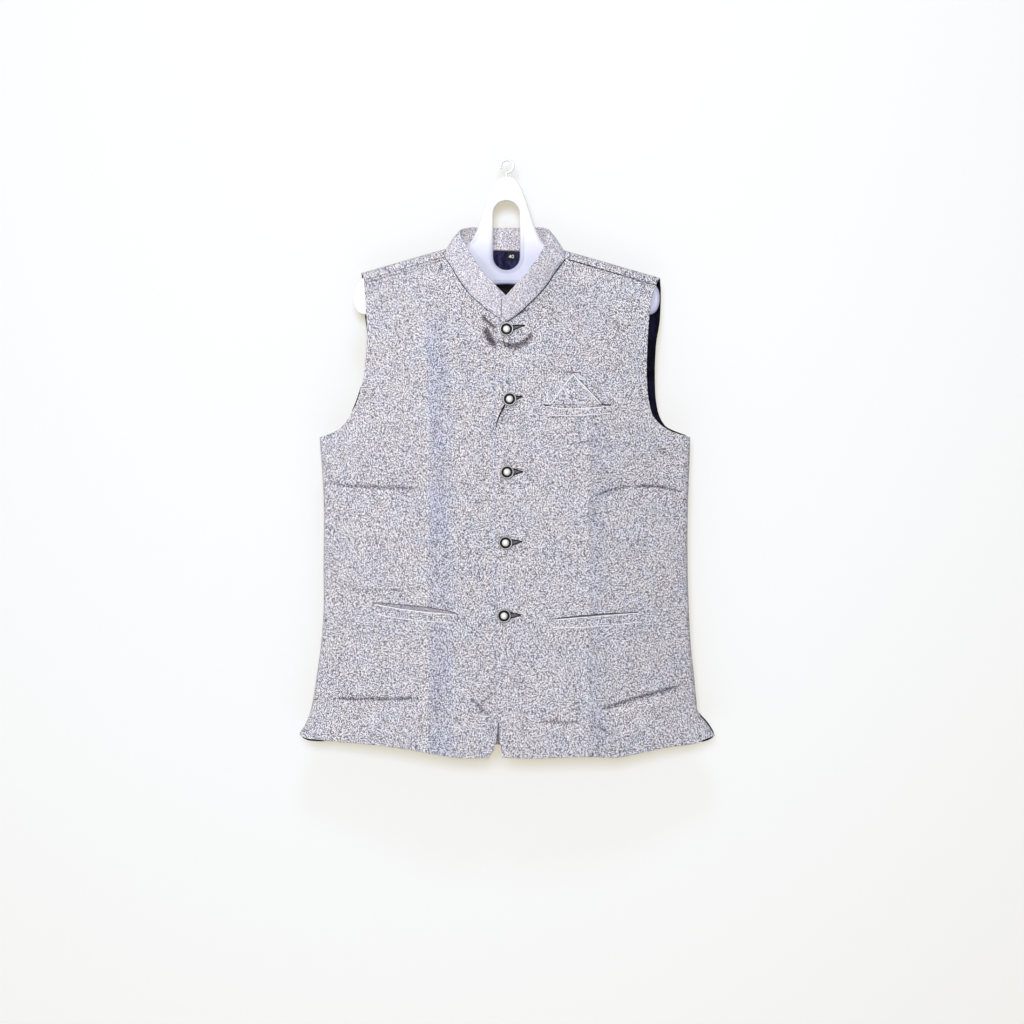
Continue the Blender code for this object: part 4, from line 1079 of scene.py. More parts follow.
def tubes(name, paths, radius, material, sides, mapped=False):
    """Round threads along many paths of the same number of points: circles carried along each path.

    radius is one number, or one for each point of a path. Both ends are drawn in and capped.
    """
    paths = np.asarray(paths, float)
    if paths.ndim == 2:
        paths = paths[None]
    count, steps = paths.shape[:2]
    tangent = unit(np.gradient(paths, axis=1))
    side = np.cross(tangent, FORWARDS)
    side = side / np.maximum(np.linalg.norm(side, axis=2, keepdims=True), 1e-9)
    up = np.cross(side, tangent)
    size = np.ones((count, steps)) * radius
    size[:, (0, -1)] *= TUBE_END
    turn = np.linspace(0, 2 * math.pi, sides, endpoint=False)
    ring = np.cos(turn)[:, None] * side[:, :, None] + np.sin(turn)[:, None] * up[:, :, None]
    points = (paths[:, :, None] + ring * size[:, :, None, None]).reshape(-1, 3)
    number = np.arange(len(points)).reshape(count, steps, sides)
    after = np.roll(number, -1, axis=2)
    skin = np.stack((number[:, :-1], number[:, 1:], after[:, 1:], after[:, :-1]), axis=-1).reshape(-1, 4)
    near = np.arange(count)[:, None] + len(points) + np.zeros((1, sides), int)
    far = near + count
    caps = np.stack((near, number[:, 0], after[:, 0]), axis=-1).reshape(-1, 3)
    ends = np.stack((far, after[:, -1], number[:, -1]), axis=-1).reshape(-1, 3)
    points = np.vstack((points, paths[:, 0], paths[:, -1]))
    flat = points[:, ::2] if mapped else None
    return mesh_object(name, points, [skin, np.vstack((caps, ends))], flat, material)


# ---------------------------------------------------------------- shader groups and materials


class Number:
    """A number that nodes work out: sums and products of it add the nodes for them."""

    def __init__(self, sheet, socket):
        self.sheet, self.socket = sheet, socket

    def __add__(self, other):
        return self.sheet.maths("ADD", self, other)

    def __radd__(self, other):
        return self.sheet.maths("ADD", other, self)

    def __sub__(self, other):
        return self.sheet.maths("SUBTRACT", self, other)

    def __mul__(self, other):
        return self.sheet.maths("MULTIPLY", self, other)

    def __truediv__(self, other):
        return self.sheet.maths("DIVIDE", self, other)

    def __mod__(self, other):
        return self.sheet.maths("FLOORED_MODULO", self, other)

    def __pow__(self, other):
        return self.sheet.maths("POWER", self, other)

    def floor(self):
        """The whole number below."""
        return self.sheet.maths("FLOOR", self)

    def at_least(self, other):
        """The larger of two."""
        return self.sheet.maths("MAXIMUM", self, other)

    def swing(self, reach):
        """A number around one half, brought to swing around nothing by `reach`."""
        return (self - 0.5) * reach


class Sheet:
    """Nodes of one tree, with short calls for the ones that the materials repeat."""

    def __init__(self, tree):
        self.tree = tree

    def node(self, kind, **settings):
        """A node with its settings made."""
        made = self.tree.nodes.new(kind)
        for name, value in settings.items():
            setattr(made, name, value)
        return made

    def put(self, socket, value):
        """Links a socket, or gives it a number, a vector, or a colour without its alpha."""
        if isinstance(value, Number):
            value = value.socket
        if isinstance(value, bpy.types.NodeSocket):
            self.tree.links.new(value, socket)
        elif value is not None:
            socket.default_value = (*value, 1) if socket.type == "RGBA" else value

    def fill(self, node, values):
        """Puts values into a node's inputs, by their names or numbers."""
        for key, value in values.items():
            self.put(node.inputs[key], value)
        return node

    def maths(self, operation, first, second=None):
        """One arithmetic node's result."""
        made = self.fill(self.node("ShaderNodeMath", operation=operation), {0: first, 1: second})
        return Number(self, made.outputs[0])

    def mix(self, factor, first, second, blend="MIX"):
        """Two colours mixed."""
        made = self.node("ShaderNodeMix", data_type="RGBA", blend_type=blend)
        return self.fill(made, {0: factor, 6: first, 7: second}).outputs[2]

    def either(self, choice, first, second):
        """The first number where the choice is 0, the second where it is 1."""
        made = self.fill(self.node("ShaderNodeMix", data_type="FLOAT"), {0: choice, 2: first, 3: second})
        return Number(self, made.outputs[0])

    def spread(self, value, low, high, to_low=0, to_high=1, smooth=False):
        """A value carried from one range to another, held at both ends."""
        made = self.node("ShaderNodeMapRange", clamp=True)
        if smooth:
            made.interpolation_type = "SMOOTHSTEP"
        self.fill(made, dict(enumerate((value, low, high, to_low, to_high))))
        return Number(self, made.outputs[0])

    def noise(self, vector, scale, detail, rough=0.5, stretch=None):
        """Soft noise, stretched along an axis where `stretch` is given."""
        if stretch:
            turned = self.fill(self.node("ShaderNodeMapping"), {"Vector": vector, "Scale": stretch})
            vector = turned.outputs[0]
        made = self.fill(self.node("ShaderNodeTexNoise"),
                         {"Vector": vector, "Scale": scale, "Detail": detail, "Roughness": rough})
        return Number(self, made.outputs[0])

    def dice(self, first, second):
        """An even random number for each pair of whole numbers."""
        joined = self.fill(self.node("ShaderNodeCombineXYZ"), {0: first, 1: second})
        made = self.node("ShaderNodeTexWhiteNoise", noise_dimensions="2D")
        return Number(self, self.fill(made, {"Vector": joined.outputs[0]}).outputs[0])

    def parts(self, vector):
        """The three numbers of a vector."""
        parted = self.fill(self.node("ShaderNodeSeparateXYZ"), {0: vector})
        return [Number(self, socket) for socket in parted.outputs]

    def times(self, colour, tone):
        """A colour made darker or lighter by a number."""
        grey = self.fill(self.node("ShaderNodeCombineXYZ"), {0: tone, 1: tone, 2: tone})
        return self.mix(1, colour, grey.outputs[0], "MULTIPLY")

    def place(self):
        """The object's own coordinates, in metres."""
        return self.node("ShaderNodeTexCoord").outputs["Object"]

    def cloth_map(self):
        """The place in the flat cloth, in metres."""
        return self.node("ShaderNodeUVMap", uv_map="cloth").outputs[0]

    def mark(self, key):
        """The painted shading mark of the folds and laps, or that of the creases."""
        return self.node("ShaderNodeAttribute", attribute_name=key).outputs["Fac"]

    def handled(self, wear, scale):
        """The mask and the height of the marks that handling leaves."""
        marks = self.node("ShaderNodeGroup", node_tree=wear)
        self.fill(marks, {"Place": self.place(), "Scale": scale})
        return marks.outputs["Mask"], marks.outputs["Height"]


def group(name, inputs, outputs):
    """An empty shader node group: its tree, calls, inputs and outputs. Inputs give name, kind, default."""
    tree = bpy.data.node_groups.new(name, "ShaderNodeTree")
    for socket, kind, value in inputs:
        made = tree.interface.new_socket(name=socket, in_out="INPUT", socket_type="NodeSocket" + kind)
        if value is not None:
            made.default_value = value
    for socket, kind in outputs:
        tree.interface.new_socket(name=socket, in_out="OUTPUT", socket_type="NodeSocket" + kind)
    sheet = Sheet(tree)
    given = {socket.name: Number(sheet, socket) for socket in tree.nodes.new("NodeGroupInput").outputs}
    return tree, sheet, given, tree.nodes.new("NodeGroupOutput").inputs


def tweed_group():
    """A 2/2 twill of light warp and dark weft, from the cloth's own map in metres.

    Warp i = floor(u / warp pitch), weft j = floor(v / weft pitch). A warp yarn lies on top where
    (i + j) mod 4 < 2, and a slant of -1 mirrors u. Each float is a rounded lozenge,
    sin(pi * across) * sin(pi * along) ** 0.5 high, and its low ends and sides are darker: painted shade
    between the yarns. The yarns' colours are mixed like salt and pepper: a soft noise, a random number
    for each float, the twill and the creases' painted shading swing the mix from weft to warp. Painted
    shade beside the folds and under the lap then makes the cloth darker and bluer, painted shade in the
    creases darker, and painted light beside the folds' lines, on the lap's edge, on crease ridges and
    inside the collar lighter and warmer.
    """
    tree, sheet, given, result = group(
        "tweed_weave",
        (("Map", "Vector", None), ("Warp", "Color", (*WARP_COLOUR, 1)), ("Weft", "Color", (*WEFT_COLOUR, 1)),
         ("Slant", "Float", 1), ("Unevenness", "Float", 1), ("Painted_Shade_Light", "Float", 0), ("Crease_Painted_Shading", "Float", 0)),
        (("Color", "Color"), ("Height", "Float")))
    cloth_map, painted_shade_light, crease_painted_shading = given["Map"], given["Painted_Shade_Light"], given["Crease_Painted_Shading"]
    u, v, _ = sheet.parts(cloth_map)
    shift = sheet.noise(cloth_map, *WANDER).swing(WANDER_SWING)
    a = u * given["Slant"] / (WARP_PITCH * MM) + shift
    b = v / (WEFT_PITCH * MM) + shift
    i, j = a.floor(), b.floor()
    across, up = a - i, b - j
    step = i + j
    phase = step % 4
    warp_up = sheet.maths("LESS_THAN", phase, 1.5)

    def lozenge(width_way, length_way):
        """Height of a float, from how far across and along it a place is."""
        arch, crown = (sheet.maths("SINE", way * math.pi) for way in (width_way, length_way))
        return arch.at_least(0) * crown.at_least(0) ** 0.5

    height = sheet.either(warp_up, lozenge(up, (across + (phase - 2)) / 2),
                          lozenge(across, (phase + up) / 2))
    float_dice = sheet.dice(sheet.either(warp_up, j + 4096, i), (step / 4).floor())
    grain, mottle, slub, blotch, cloud, fuzz = (
        sheet.noise(cloth_map, *kind) for kind in (GRAIN, MOTTLE, SLUB, BLOTCH, CLOUD, FUZZ))
    # Painted shading: a crease's mark swings the mix towards the dark weft in its trough and the light warp
    # on its ridge
    pepper = crease_painted_shading * CREASE_SHADING_SWING + grain.swing(GRAIN_SWING)
    pepper = pepper + float_dice.swing(FLOAT_SWING) + warp_up.swing(TWILL_SWING)
    yarns = sheet.mix(sheet.spread(pepper, ALL_WEFT, ALL_WARP), given["Weft"], given["Warp"])
    tone = slub.swing(SLUB_SWING) + mottle.swing(MOTTLE_SWING) + blotch.swing(BLOTCH_SWING)
    yarns = sheet.times(yarns, (1 + tone * given["Unevenness"]).at_least(DARKEST_TONE))
    for noise, hues in ((blotch, BLOTCH_HUES), (cloud, CLOUD_HUES)):
        hue = sheet.mix(sheet.spread(noise, 0.4, 0.6, smooth=True), *hues)
        yarns = sheet.mix(1, yarns, hue, "MULTIPLY")
    # Painted shading: painted shade, darker and bluer, beside the folds and under the lap; painted shade in
    # the crease troughs; painted light, lighter and warmer, on ridges, the lap's edge and the collar's inside
    painted_highlight = painted_shade_light + crease_painted_shading.at_least(0)
    for mark, (start, end, tint) in ((painted_shade_light, PAINTED_SHADE_TINT), (crease_painted_shading, SHADED), (painted_highlight, PAINTED_LIGHT_TINT)):
        tinted = sheet.mix(sheet.spread(mark, start, end), (1, 1, 1), tint)
        yarns = sheet.mix(1, yarns, tinted, "MULTIPLY")
    # Painted shade between the yarns: the low ends and sides of each float are darker
    sheet.put(result["Color"], sheet.times(yarns, sheet.spread(height, 0, 0.5, 0.86, 1)))
    sheet.put(result["Height"], height + fuzz * 0.5)
    return tree


def wear_group():
    """Faint grime and unevenness over a smooth finish: two noises on the object's own place."""
    tree, sheet, given, result = group(
        "handling_marks", (("Place", "Vector", None), ("Scale", "Float", 60), ("Strength", "Float", 1)),
        (("Mask", "Float"), ("Height", "Float")))
    coarse = sheet.noise(given["Place"], given["Scale"], 4)
    both = coarse * 0.75 + sheet.noise(given["Place"], 900, 2, 0.6) * 0.25
    sheet.put(result["Mask"], sheet.spread(both, 0.35, 0.65, smooth=True) * given["Strength"])
    sheet.put(result["Height"], both)
    return tree


def shade(colour, share):
    """A colour times a number."""
    return tuple(share * c for c in colour)


def painted(name, roughness, metallic=0, specular=0.5):
    """A material with its Principled shader, its nodes' calls and that shader."""
    made = bpy.data.materials.new(name)
    made.use_nodes = True
    sheet = Sheet(made.node_tree)
    return made, sheet, sheet.fill(made.node_tree.nodes["Principled BSDF"], {
        "Roughness": roughness, "Metallic": metallic, "Specular IOR Level": specular})


def bumped(sheet, shader, height, strength, distance):
    """A bump on the shader, its distance in millimetres."""
    made = sheet.fill(sheet.node("ShaderNodeBump"),
                      {"Strength": strength, "Distance": distance * MM, "Height": height})
    sheet.put(shader.inputs["Normal"], made.outputs[0])


def cloth_material(name, weave, warp, weft, slant, unevenness):
    """The jacket's tweed: two yarns, a soft nap and a little sheen."""
    made, sheet, shader = painted(name, 0.88, specular=0.2)
    # The weave takes the painted shading of the folds, laps and creases from the piece's attributes
    woven = sheet.fill(sheet.node("ShaderNodeGroup", node_tree=weave), {
        "Map": sheet.cloth_map(), "Warp": warp, "Weft": weft, "Slant": slant, "Unevenness": unevenness,
        "Painted_Shade_Light": sheet.mark("painted_shade_light"), "Crease_Painted_Shading": sheet.mark("crease_painted_shading")})
    sheet.fill(shader, {"Base Color": woven.outputs["Color"], "Sheen Weight": 0.25, "Sheen Roughness": 0.55,
                        "Sheen Tint": (0.9, 0.9, 1)})
    bumped(sheet, shader, woven.outputs["Height"], 0.5, 0.22)
    return made


def satin_material(name, near, armhole_painted_shade):
    """Navy satin: fine weft lines, faint creasing, painted sheen in cloudy lighter and darker patches, and
    painted shade towards the armholes.
    """
    made, sheet, shader = painted(name, 0.46, specular=0.02)
    placed = sheet.cloth_map()
    lines, cloud = (sheet.noise(placed, *kind) for kind in (SATIN_LINES, SATIN_CLOUD))
    # Painted sheen: the cloud swings the satin between darker and lighter patches, and mottles the armholes'
    # painted shade
    painted_light = sheet.mix(sheet.spread(cloud, 0.35, 0.65, smooth=True), shade(near, 0.35), shade(near, 1.5))
    dark = sheet.mix(sheet.spread(cloud, 0.40, 0.60, smooth=True), armhole_painted_shade, shade(armhole_painted_shade, 5))
    colour = sheet.mix(sheet.spread(sheet.mark("painted_shade_light"), 0, -1), painted_light, dark)
    sheet.put(shader.inputs["Base Color"], colour)
    bumped(sheet, shader, lines * 0.12 + cloud, 0.5, 1.6)
    return made


def plastic_material(wear):
    """White moulded plastic with a lavender cast in its body, which is painted shade, and white above the
    collar and at the end that comes out of the armhole: painted light where the light falls on it."""
    made, sheet, shader = painted("hanger_plastic", 0.34, specular=0.45)
    mask, height = sheet.handled(wear, 30)
    body = sheet.mix(mask, (0.44, 0.46, 0.62), (0.48, 0.50, 0.655))
    x, _, z = sheet.parts(sheet.place())
    # Painted light: white above the collar and at the arm's end, over the lavender painted shade of the body
    painted_light = sheet.spread(z, -0.150, -0.070, smooth=True).at_least(sheet.spread(x, -0.186, -0.204, smooth=True))
    sheet.fill(shader, {"Base Color": sheet.mix(painted_light, body, (0.88, 0.89, 0.91)),
                        "Subsurface Weight": 0.12, "Subsurface Scale": 0.004})
    bumped(sheet, shader, height, 0.15, 0.3)
    return made


def metal_material(name, wear, colour, roughness, metallic):
    """Polished or brushed metal with tarnish in patches."""
    made, sheet, shader = painted(name, roughness, metallic)
    mask, height = sheet.handled(wear, 420)
    sheet.fill(shader, {"Base Color": sheet.mix(mask, colour, shade(colour, 0.8)),
                        "Roughness": sheet.spread(mask, 0, 1, roughness, roughness + 0.12)})
    bumped(sheet, shader, height, 0.08, 0.1)
    return made


def enamel_material(wear):
    """Black enamel in a button's groove."""
    made, sheet, shader = painted("button_enamel", 0.5, specular=0.12)
    mask, _ = sheet.handled(wear, 500)
    sheet.put(shader.inputs["Base Color"], sheet.mix(mask, (0.004, 0.004, 0.005), (0.012, 0.012, 0.014)))
    return made


def thread_material(name, dark, light):
    """Spun thread: a fine mottle between two tones."""
    made, sheet, shader = painted(name, 0.8, specular=0.08)
    twist = sheet.noise(sheet.place(), 2400, 2, 0.6)
    sheet.put(shader.inputs["Base Color"], sheet.mix(twist, dark, light))
    bumped(sheet, shader, twist, 0.4, 0.1)
    return made


def label_material():
    """Close black woven ribbon: fine lines both ways."""
    made, sheet, shader = painted("label_ribbon", 0.7, specular=0.3)
    across, down = (sheet.noise(sheet.place(), 1500, 1, 0.5, stretch)
                    for stretch in ((1, 1, 0.15), (0.15, 1, 1)))
    woven = across * down
    sheet.put(shader.inputs["Base Color"],
              sheet.mix(sheet.spread(woven, 0.15, 0.35), (0.004, 0.004, 0.006), (0.011, 0.011, 0.015)))
    bumped(sheet, shader, woven, 0.4, 0.15)
    return made


# ---------------------------------------------------------------- cloth pieces


def keep_side(points, sign, rows_from):
    """Holds a panel's points on its own side of the side seam."""
    points = points.copy()
    y = points[rows_from:, :, 1]
    points[rows_from:, :, 1] = sign * np.maximum(sign * y, GAP / 2)
    return points


def lining_slack(x, drop):
    """How far the lining bags towards the hollow: its creases and a slow wave, stilled at the sides."""
    wave = LINING_WAVE * np.sin(x / 21 + drop / 47) * np.sin(drop / 63 - x / 80)
    slack = np.clip(LINING_SLACK - creases(x, drop, LINING_CREASES) + wave, 0, LINING_SLACK_MOST)
    return slack * (1 - roundness(x, drop)[0] ** 12)


def make_cloth(end, uv, surface, side, cloth, kept, marks):
    """A panel's cloth, from its surface's points and normals. `end` is the end of its name, and side
    is -1 in front or 1 behind, with the grid's first row that has to stay there."""
    points, outward = surface
    outer = keep_side(points, *side)
    inner = keep_side(points - outward * CLOTH, *side)
    piece = shell("cloth_" + end, outer, inner, uv, cloth, kept, (marks, NO_PAINTED_SHADING))
    declare(piece, (end,), sheet_facts(outer, uv, kept, "hung", ("hanger_plastic",)))


def make_lining(end, x, uv, surface, side, satin, kept, slack):
    """A panel's lining, short of the hem by one step of the solids' grid, darker towards the armholes with
    painted shade.
    """
    points, outward = surface
    kept[-FINE_LINING:] = False
    near = keep_side(points - outward * (CLOTH + GAP), *side)
    far = keep_side(points - outward * (CLOTH + GAP + LINING + slack)[..., None], *side)
    # Painted shade towards the armholes, on the lining's inner skin
    dark = -ease((np.abs(x) - DARK_LINING_FROM) / DARK_LINING_WIDTH)
    piece = shell("satin_" + end, near, far, uv, satin, kept, (NO_PAINTED_SHADING, (dark, 0)))
    declare(piece, ("lining_" + end,), sheet_facts(near, uv, kept, "hung", ("cloth_" + end,)))


def make_front(front_side, cloth, satin):
    """A front, its lining and the points and normals of its stretch of the neck seam."""
    front = FRONTS[front_side]
    under, end = front["under"], "front_" + front_side

    x, drop = front_grid(front, *FINE_FRONT)
    surface = front_surface(x, drop, under)
    make_cloth(end, flat_cloth(x, drop, drop), surface, (-1, 0), cloth, None,
               painted_shading_of(x, drop, FRONT_CREASES, under))
    neck_rows = (NECK_STEPS + (0 if under else 1)) * FINE_FRONT[0] + 1
    seam = np.stack(surface)[:, :neck_rows, 0]
    x, drop = front_grid(front, FINE_LINING, FINE_LINING)
    surface = front_surface(x, drop, under)
    kept = np.ones((x.shape[0] - 1, x.shape[1] - 1), bool)
    kept[:, :(len(front["to_fold"]) - 1 - LINING_COLUMNS_BEFORE_FOLD) * FINE_LINING] = False
    make_lining(end, x, flat_cloth(x, drop, drop), surface, (-1, 0), satin, kept, lining_slack(x, drop))
    return seam


def make_back(cloth, satin):
    """The back, its lining, and the points and normals of its stretch of the neck seam."""
    first_row = len(STRAP_WAYS)
    x, way, kept = back_grid(FINE_BACK)
    surface = back_surface(x, way)
    drop = -surface[0][..., 2]
    make_cloth("back", flat_cloth(x, way, drop), surface, (1, first_row * FINE_BACK), cloth, kept,
               painted_shading_of(x, drop, BACK_CREASES))
    middle = x.shape[1] // 2
    reach = (len(BACK_NECKLINE) - 1) * FINE_BACK
    low = NECK_ROW * FINE_BACK
    path = [(j, middle - reach) for j in range(low)]
    path += [(low, i) for i in range(middle - reach, middle + reach + 1)]
    path += [(j, middle + reach) for j in reversed(range(low))]
    rows, columns = zip(*path)
    seam = np.stack(surface)[:, rows, columns]
    x, way, kept = back_grid(FINE_LINING)
    surface = back_surface(x, way)
    drop = -surface[0][..., 2]
    slack = lining_slack(x, drop) * ease((way - TOP_WAY) / BACK_CREASE_FALL)
    make_lining("back", x, flat_cloth(x, way, drop), surface, (1, first_row * FINE_LINING), satin, kept,
                slack)
    return seam


def sheet_facts(grid, uv, keep, held_by, rests_on):
    corners = (uv if keep is None else uv[:-1, :-1][keep]).reshape(-1, 2)
    width, length = (float(size) * MM for size in np.ptp(corners, axis=0))
    area = min(cut_of(grid, keep), 0.999 * width * length)
    return {"flat": (round(width, 4), round(length, 4)), "held": held_by, "rests_on": list(rests_on),
            "area": round(area, 6)}


def make_collar(seams, cloth, thread):
    """The stand collar: a band from the neck seam up to COLLAR_TOP, its ends lapped in front, with a
    line of thread down the end on top as painted shade at that edge, and painted light on its inside.

    Between seam and top it bows out by COLLAR_BOW * sin(pi * height), and its foot turns to meet the
    cloth.
    """
    right, back, left = seams
    base, seam_normal = np.concatenate((right[:, ::-1], back, left), axis=1)
    way = way_along(base)
    centre = way[right.shape[1] + back.shape[1] // 2]
    stations = np.linspace(0, way[-1], COLLAR_STATIONS)
    base, seam_normal = (at_ways(line, way, stations) for line in (base, seam_normal))
    for _ in range(COLLAR_SMOOTHINGS):
        for line in (base, seam_normal):
            line[1:-1] = (line[:-2] + 2 * line[1:-1] + line[2:]) / 4
    seam_normal = unit(seam_normal)
    share = stations - centre
    share = np.where(share < 0, share / -share[0], share / share[-1])
    top = along(COLLAR_TOP, share) * (1, 1, -1)
    up = top - base
    height = np.linalg.norm(up, axis=1, keepdims=True)
    up = up / height
    base = base + up * COLLAR_SEAM
    level = np.linspace(0, 1, COLLAR_ROWS + 1)[:, None, None]
    outer = base + (top - base) * level
    outward = unit(np.cross(up[None], np.gradient(outer, axis=1)))
    bow = COLLAR_BOW * np.sin(math.pi * level)
    flat_level = level[..., 0]
    from_centre = (stations - centre)[None]
    for place, at, half, width, depth in COLLAR_CREASES:
        middle = np.interp(place, share, stations - centre)
        dent = np.exp(-((from_centre - middle) / width) ** 2) * np.exp(-((flat_level - at) / half) ** 2)
        bow = bow - depth * dent[..., None]
    outer = outer + outward * bow
    turn = ease(level / COLLAR_FOOT)
    outward = unit(seam_normal * (1 - turn) + outward * turn)
    uv = np.stack(np.broadcast_arrays(from_centre, flat_level * height[None, :, 0]), axis=-1)
    # Painted light on the band's inner skin
    piece = shell("collar_band", outer, outer - outward * COLLAR, uv, cloth, None,
                  (NO_PAINTED_SHADING, (COLLAR_INSIDE_PAINTED_LIGHT, 0)))
    declare(piece, ("collar",), sheet_facts(outer, uv, None, "hung", ("cloth_back",)))
    # Painted shade: a grey thread down the lapped end stands for the dark line of shade at its edge
    end = outer[:, -1] + outward[:, -1] * COLLAR_END_LIFT
    declare(tubes("collar_end_painted_shade", end, COLLAR_END_THREAD, thread, 8))


def on_front(x, drop, height, under=False):
    """Points on a front, moved out along its normals by `height`."""
    x, drop = np.broadcast_arrays(np.asarray(x, float), np.asarray(drop, float))
    points, outward = front_surface(x, drop, under)
    return points + outward * np.asarray(height, float)[..., None]


def between_lines(first, second, rows):
    """x and drop of a grid between two lines of points."""
    share = np.linspace(0, 1, rows + 1)[:, None, None]
    return np.moveaxis(first + (second - first) * share, -1, 0)


def laid_shell(name, x, drop, top, bottom, finish, slot_name, under=False, nodes=(), held_by="laid", turn=0):
    """A wall of cloth on a front, from `bottom` to `top` above it; `turn` is how far its weave is turned."""
    outer, inner = (on_front(x, drop, height, under) for height in (top, bottom))
    uv = flat_map(x * math.cos(turn) + drop * math.sin(turn), drop * math.cos(turn) - x * math.sin(turn))
    rests_on = ("cloth_front_right" if under else "cloth_front_left",)
    sheet = sheet_facts(outer, uv, None, held_by, rests_on) if nodes else None
    declare(shell(name, outer, inner, uv, finish), nodes, sheet)


def laid_tube(name, line, size, height, finish, under, mapped=False):
    """A thin tube along a line on a front, its middle at `height` above it."""
    declare(tubes(name, on_front(*line.T, height, under), size, finish, 8, mapped))


def make_welt(name, edges, cloth, node, under):
    """The lip of a pocket: a strip of cloth laid on a front between two edges."""
    top, bottom = (trace(edge, WELT_COLUMNS) for edge in edges)
    x, drop = between_lines(top, bottom, WELT_ROWS)
    laid_shell(name, x, drop, WELT_LIFT + WELT, WELT_LIFT, cloth, "grey_tweed", under, (node,))


def make_slit(name, lip, welt, painted_shade_inside, thread, under):
    """The gaping mouth over a hip welt, painted shade: darker cloth from its upper lip down behind the
    welt's edge, and a dark line under that lip."""
    x, drop = between_lines(trace(lip, WELT_COLUMNS), trace(welt, WELT_COLUMNS) + (0, SLIT_OVERLAP), 4)
    laid_shell(name, x, drop, *SLIT_HEIGHTS, painted_shade_inside, "grey_tweed", under)
    thread_line(name + "_lip", lip, *SLIT_LIP, 0, thread, under, 80)


def make_roll(name, route, radius, height, cloth, under):
    """A rolled edge of cloth: a thin pale tube along a line on a front, painted highlight for the light it
    catches, its ends tapered over ROLL_TAPER.
    """
    line = trace(route, 70)
    share = np.linspace(0, 1, len(line)) / ROLL_TAPER
    size = radius * ease(share + 0.3) * ease(share[::-1] + 0.3)
    laid_tube(name, line, size, size * 0.3 + height, cloth, under, True)


def piping_route(route):
    """x and drop along a piping: the points given, or a stretch of the vent's or the armhole's edge."""
    if route == "side":
        drop = np.linspace(*PIPING_VENT, 9)
        return np.column_stack((along(BODY, drop)[:, 1] + PIPING_OUT, drop))
    if route == "armhole":
        edge = trace(ARMHOLE_RIGHT, 120)
        edge = edge[(edge[:, 1] > PIPING_ARMHOLE[0]) & (edge[:, 1] < PIPING_ARMHOLE[1])][::6]
        return edge - (PIPING_OUT, 0)
    return route


def make_piping(name, route, radius, under, satin):
    """A stretch of the lining's turned edge that shows past the cloth: a thin tube along its edge, of
    radius * sin(angle) ** 0.5."""
    line = trace(piping_route(route), 40)
    size = radius * np.sin(np.linspace(PIPING_END, math.pi - PIPING_END, len(line))) ** 0.5
    laid_tube(name, line, size, PIPING_LIFT, satin, under, True)


def make_square(cloth):
    """The folded square: a triangle from its apex down to the pocket, its sides folded over.

    Its height is SQUARE plus a rolled hem along both sides, rise * exp(-(distance / SQUARE_HEM)^4), and
    a sag in its middle.
    """
    share = np.linspace(SQUARE_TIP, 1, 41)[:, None]
    side = np.linspace(0, 1, 49)
    base = np.array(SQUARE_BASE)
    foot = base[0] + (base[1] - base[0]) * side[:, None]
    grid = np.array(SQUARE_APEX) + (foot[None] - SQUARE_APEX) * share[..., None]
    x, drop = grid[..., 0], grid[..., 1]
    width = np.abs(x[:, -1:] - x[:, :1])
    height = GAP + SQUARE + SQUARE_SAG * np.sin(math.pi * side) * share
    for rise, distance in zip(SQUARE_HEM_RISES, (side * width, (1 - side) * width)):
        height = height + rise * np.exp(-(distance / SQUARE_HEM) ** 4)
    laid_shell("square_folded", x, drop, height, 0.1, cloth, "grey_tweed", False, ("pocket_square",),
               "folded", SQUARE_TURN)


def arch(t, foot, rise):
    """Height along a stitch: foot + rise * sin(pi * t)."""
    return foot + rise * np.sin(math.pi * t)


def hole_lip(number, share, sign):
    """x and drop along one lip of a buttonhole: a wedge that closes at its outer end."""
    x, drop, reach, rise, half = BUTTONS[number - 1]
    start = HOLE_START / reach
    at = start + (1 - start) * share
    open_half = half * (1 - share) ** 0.85
    return x + reach * at, drop - rise * at + sign * open_half


def make_buttonhole(number, thread, painted_shade_inside):
    """A worked buttonhole: close stitches over both lips of a slit, a bar at its end, darker cloth inside as
    painted shade.
    """
    share = np.linspace(0, 1, HOLE_STITCHES)
    t = np.linspace(0, 1, STITCH_POINTS)
    paths = []
    for sign in (-1, 1):
        x, drop = hole_lip(number, share, sign)
        over = sign * (1.5 - 0.5 * share[:, None]) * (t - 0.35)
        paths.append(on_front(x[:, None] + 0.5 * t, drop[:, None] + over, arch(t, *HOLE_ARCH)))
    x, drop = hole_lip(number, np.ones((3, 1)), 1)
    bar_x = x + 0.4 + 0.5 * np.arange(3)[:, None]
    paths.append(on_front(bar_x, drop + (2 * t - 1) * np.array(HOLE_BAR_HALVES), arch(t, *HOLE_BAR_ARCH)))
    declare(tubes("buttonhole_%d" % number, np.concatenate(paths), HOLE_THREAD, thread, 6))
    above, below = (np.column_stack(hole_lip(number, np.linspace(0, 1, 17), sign)) for sign in (-1, 1))
    x, drop = between_lines(above - (0, HOLE_UNDERLAP), below + (0, HOLE_UNDERLAP), 4)
    laid_shell("buttonhole_slit_%d" % number, x, drop, *HOLE_HEIGHTS, painted_shade_inside, "label_black")


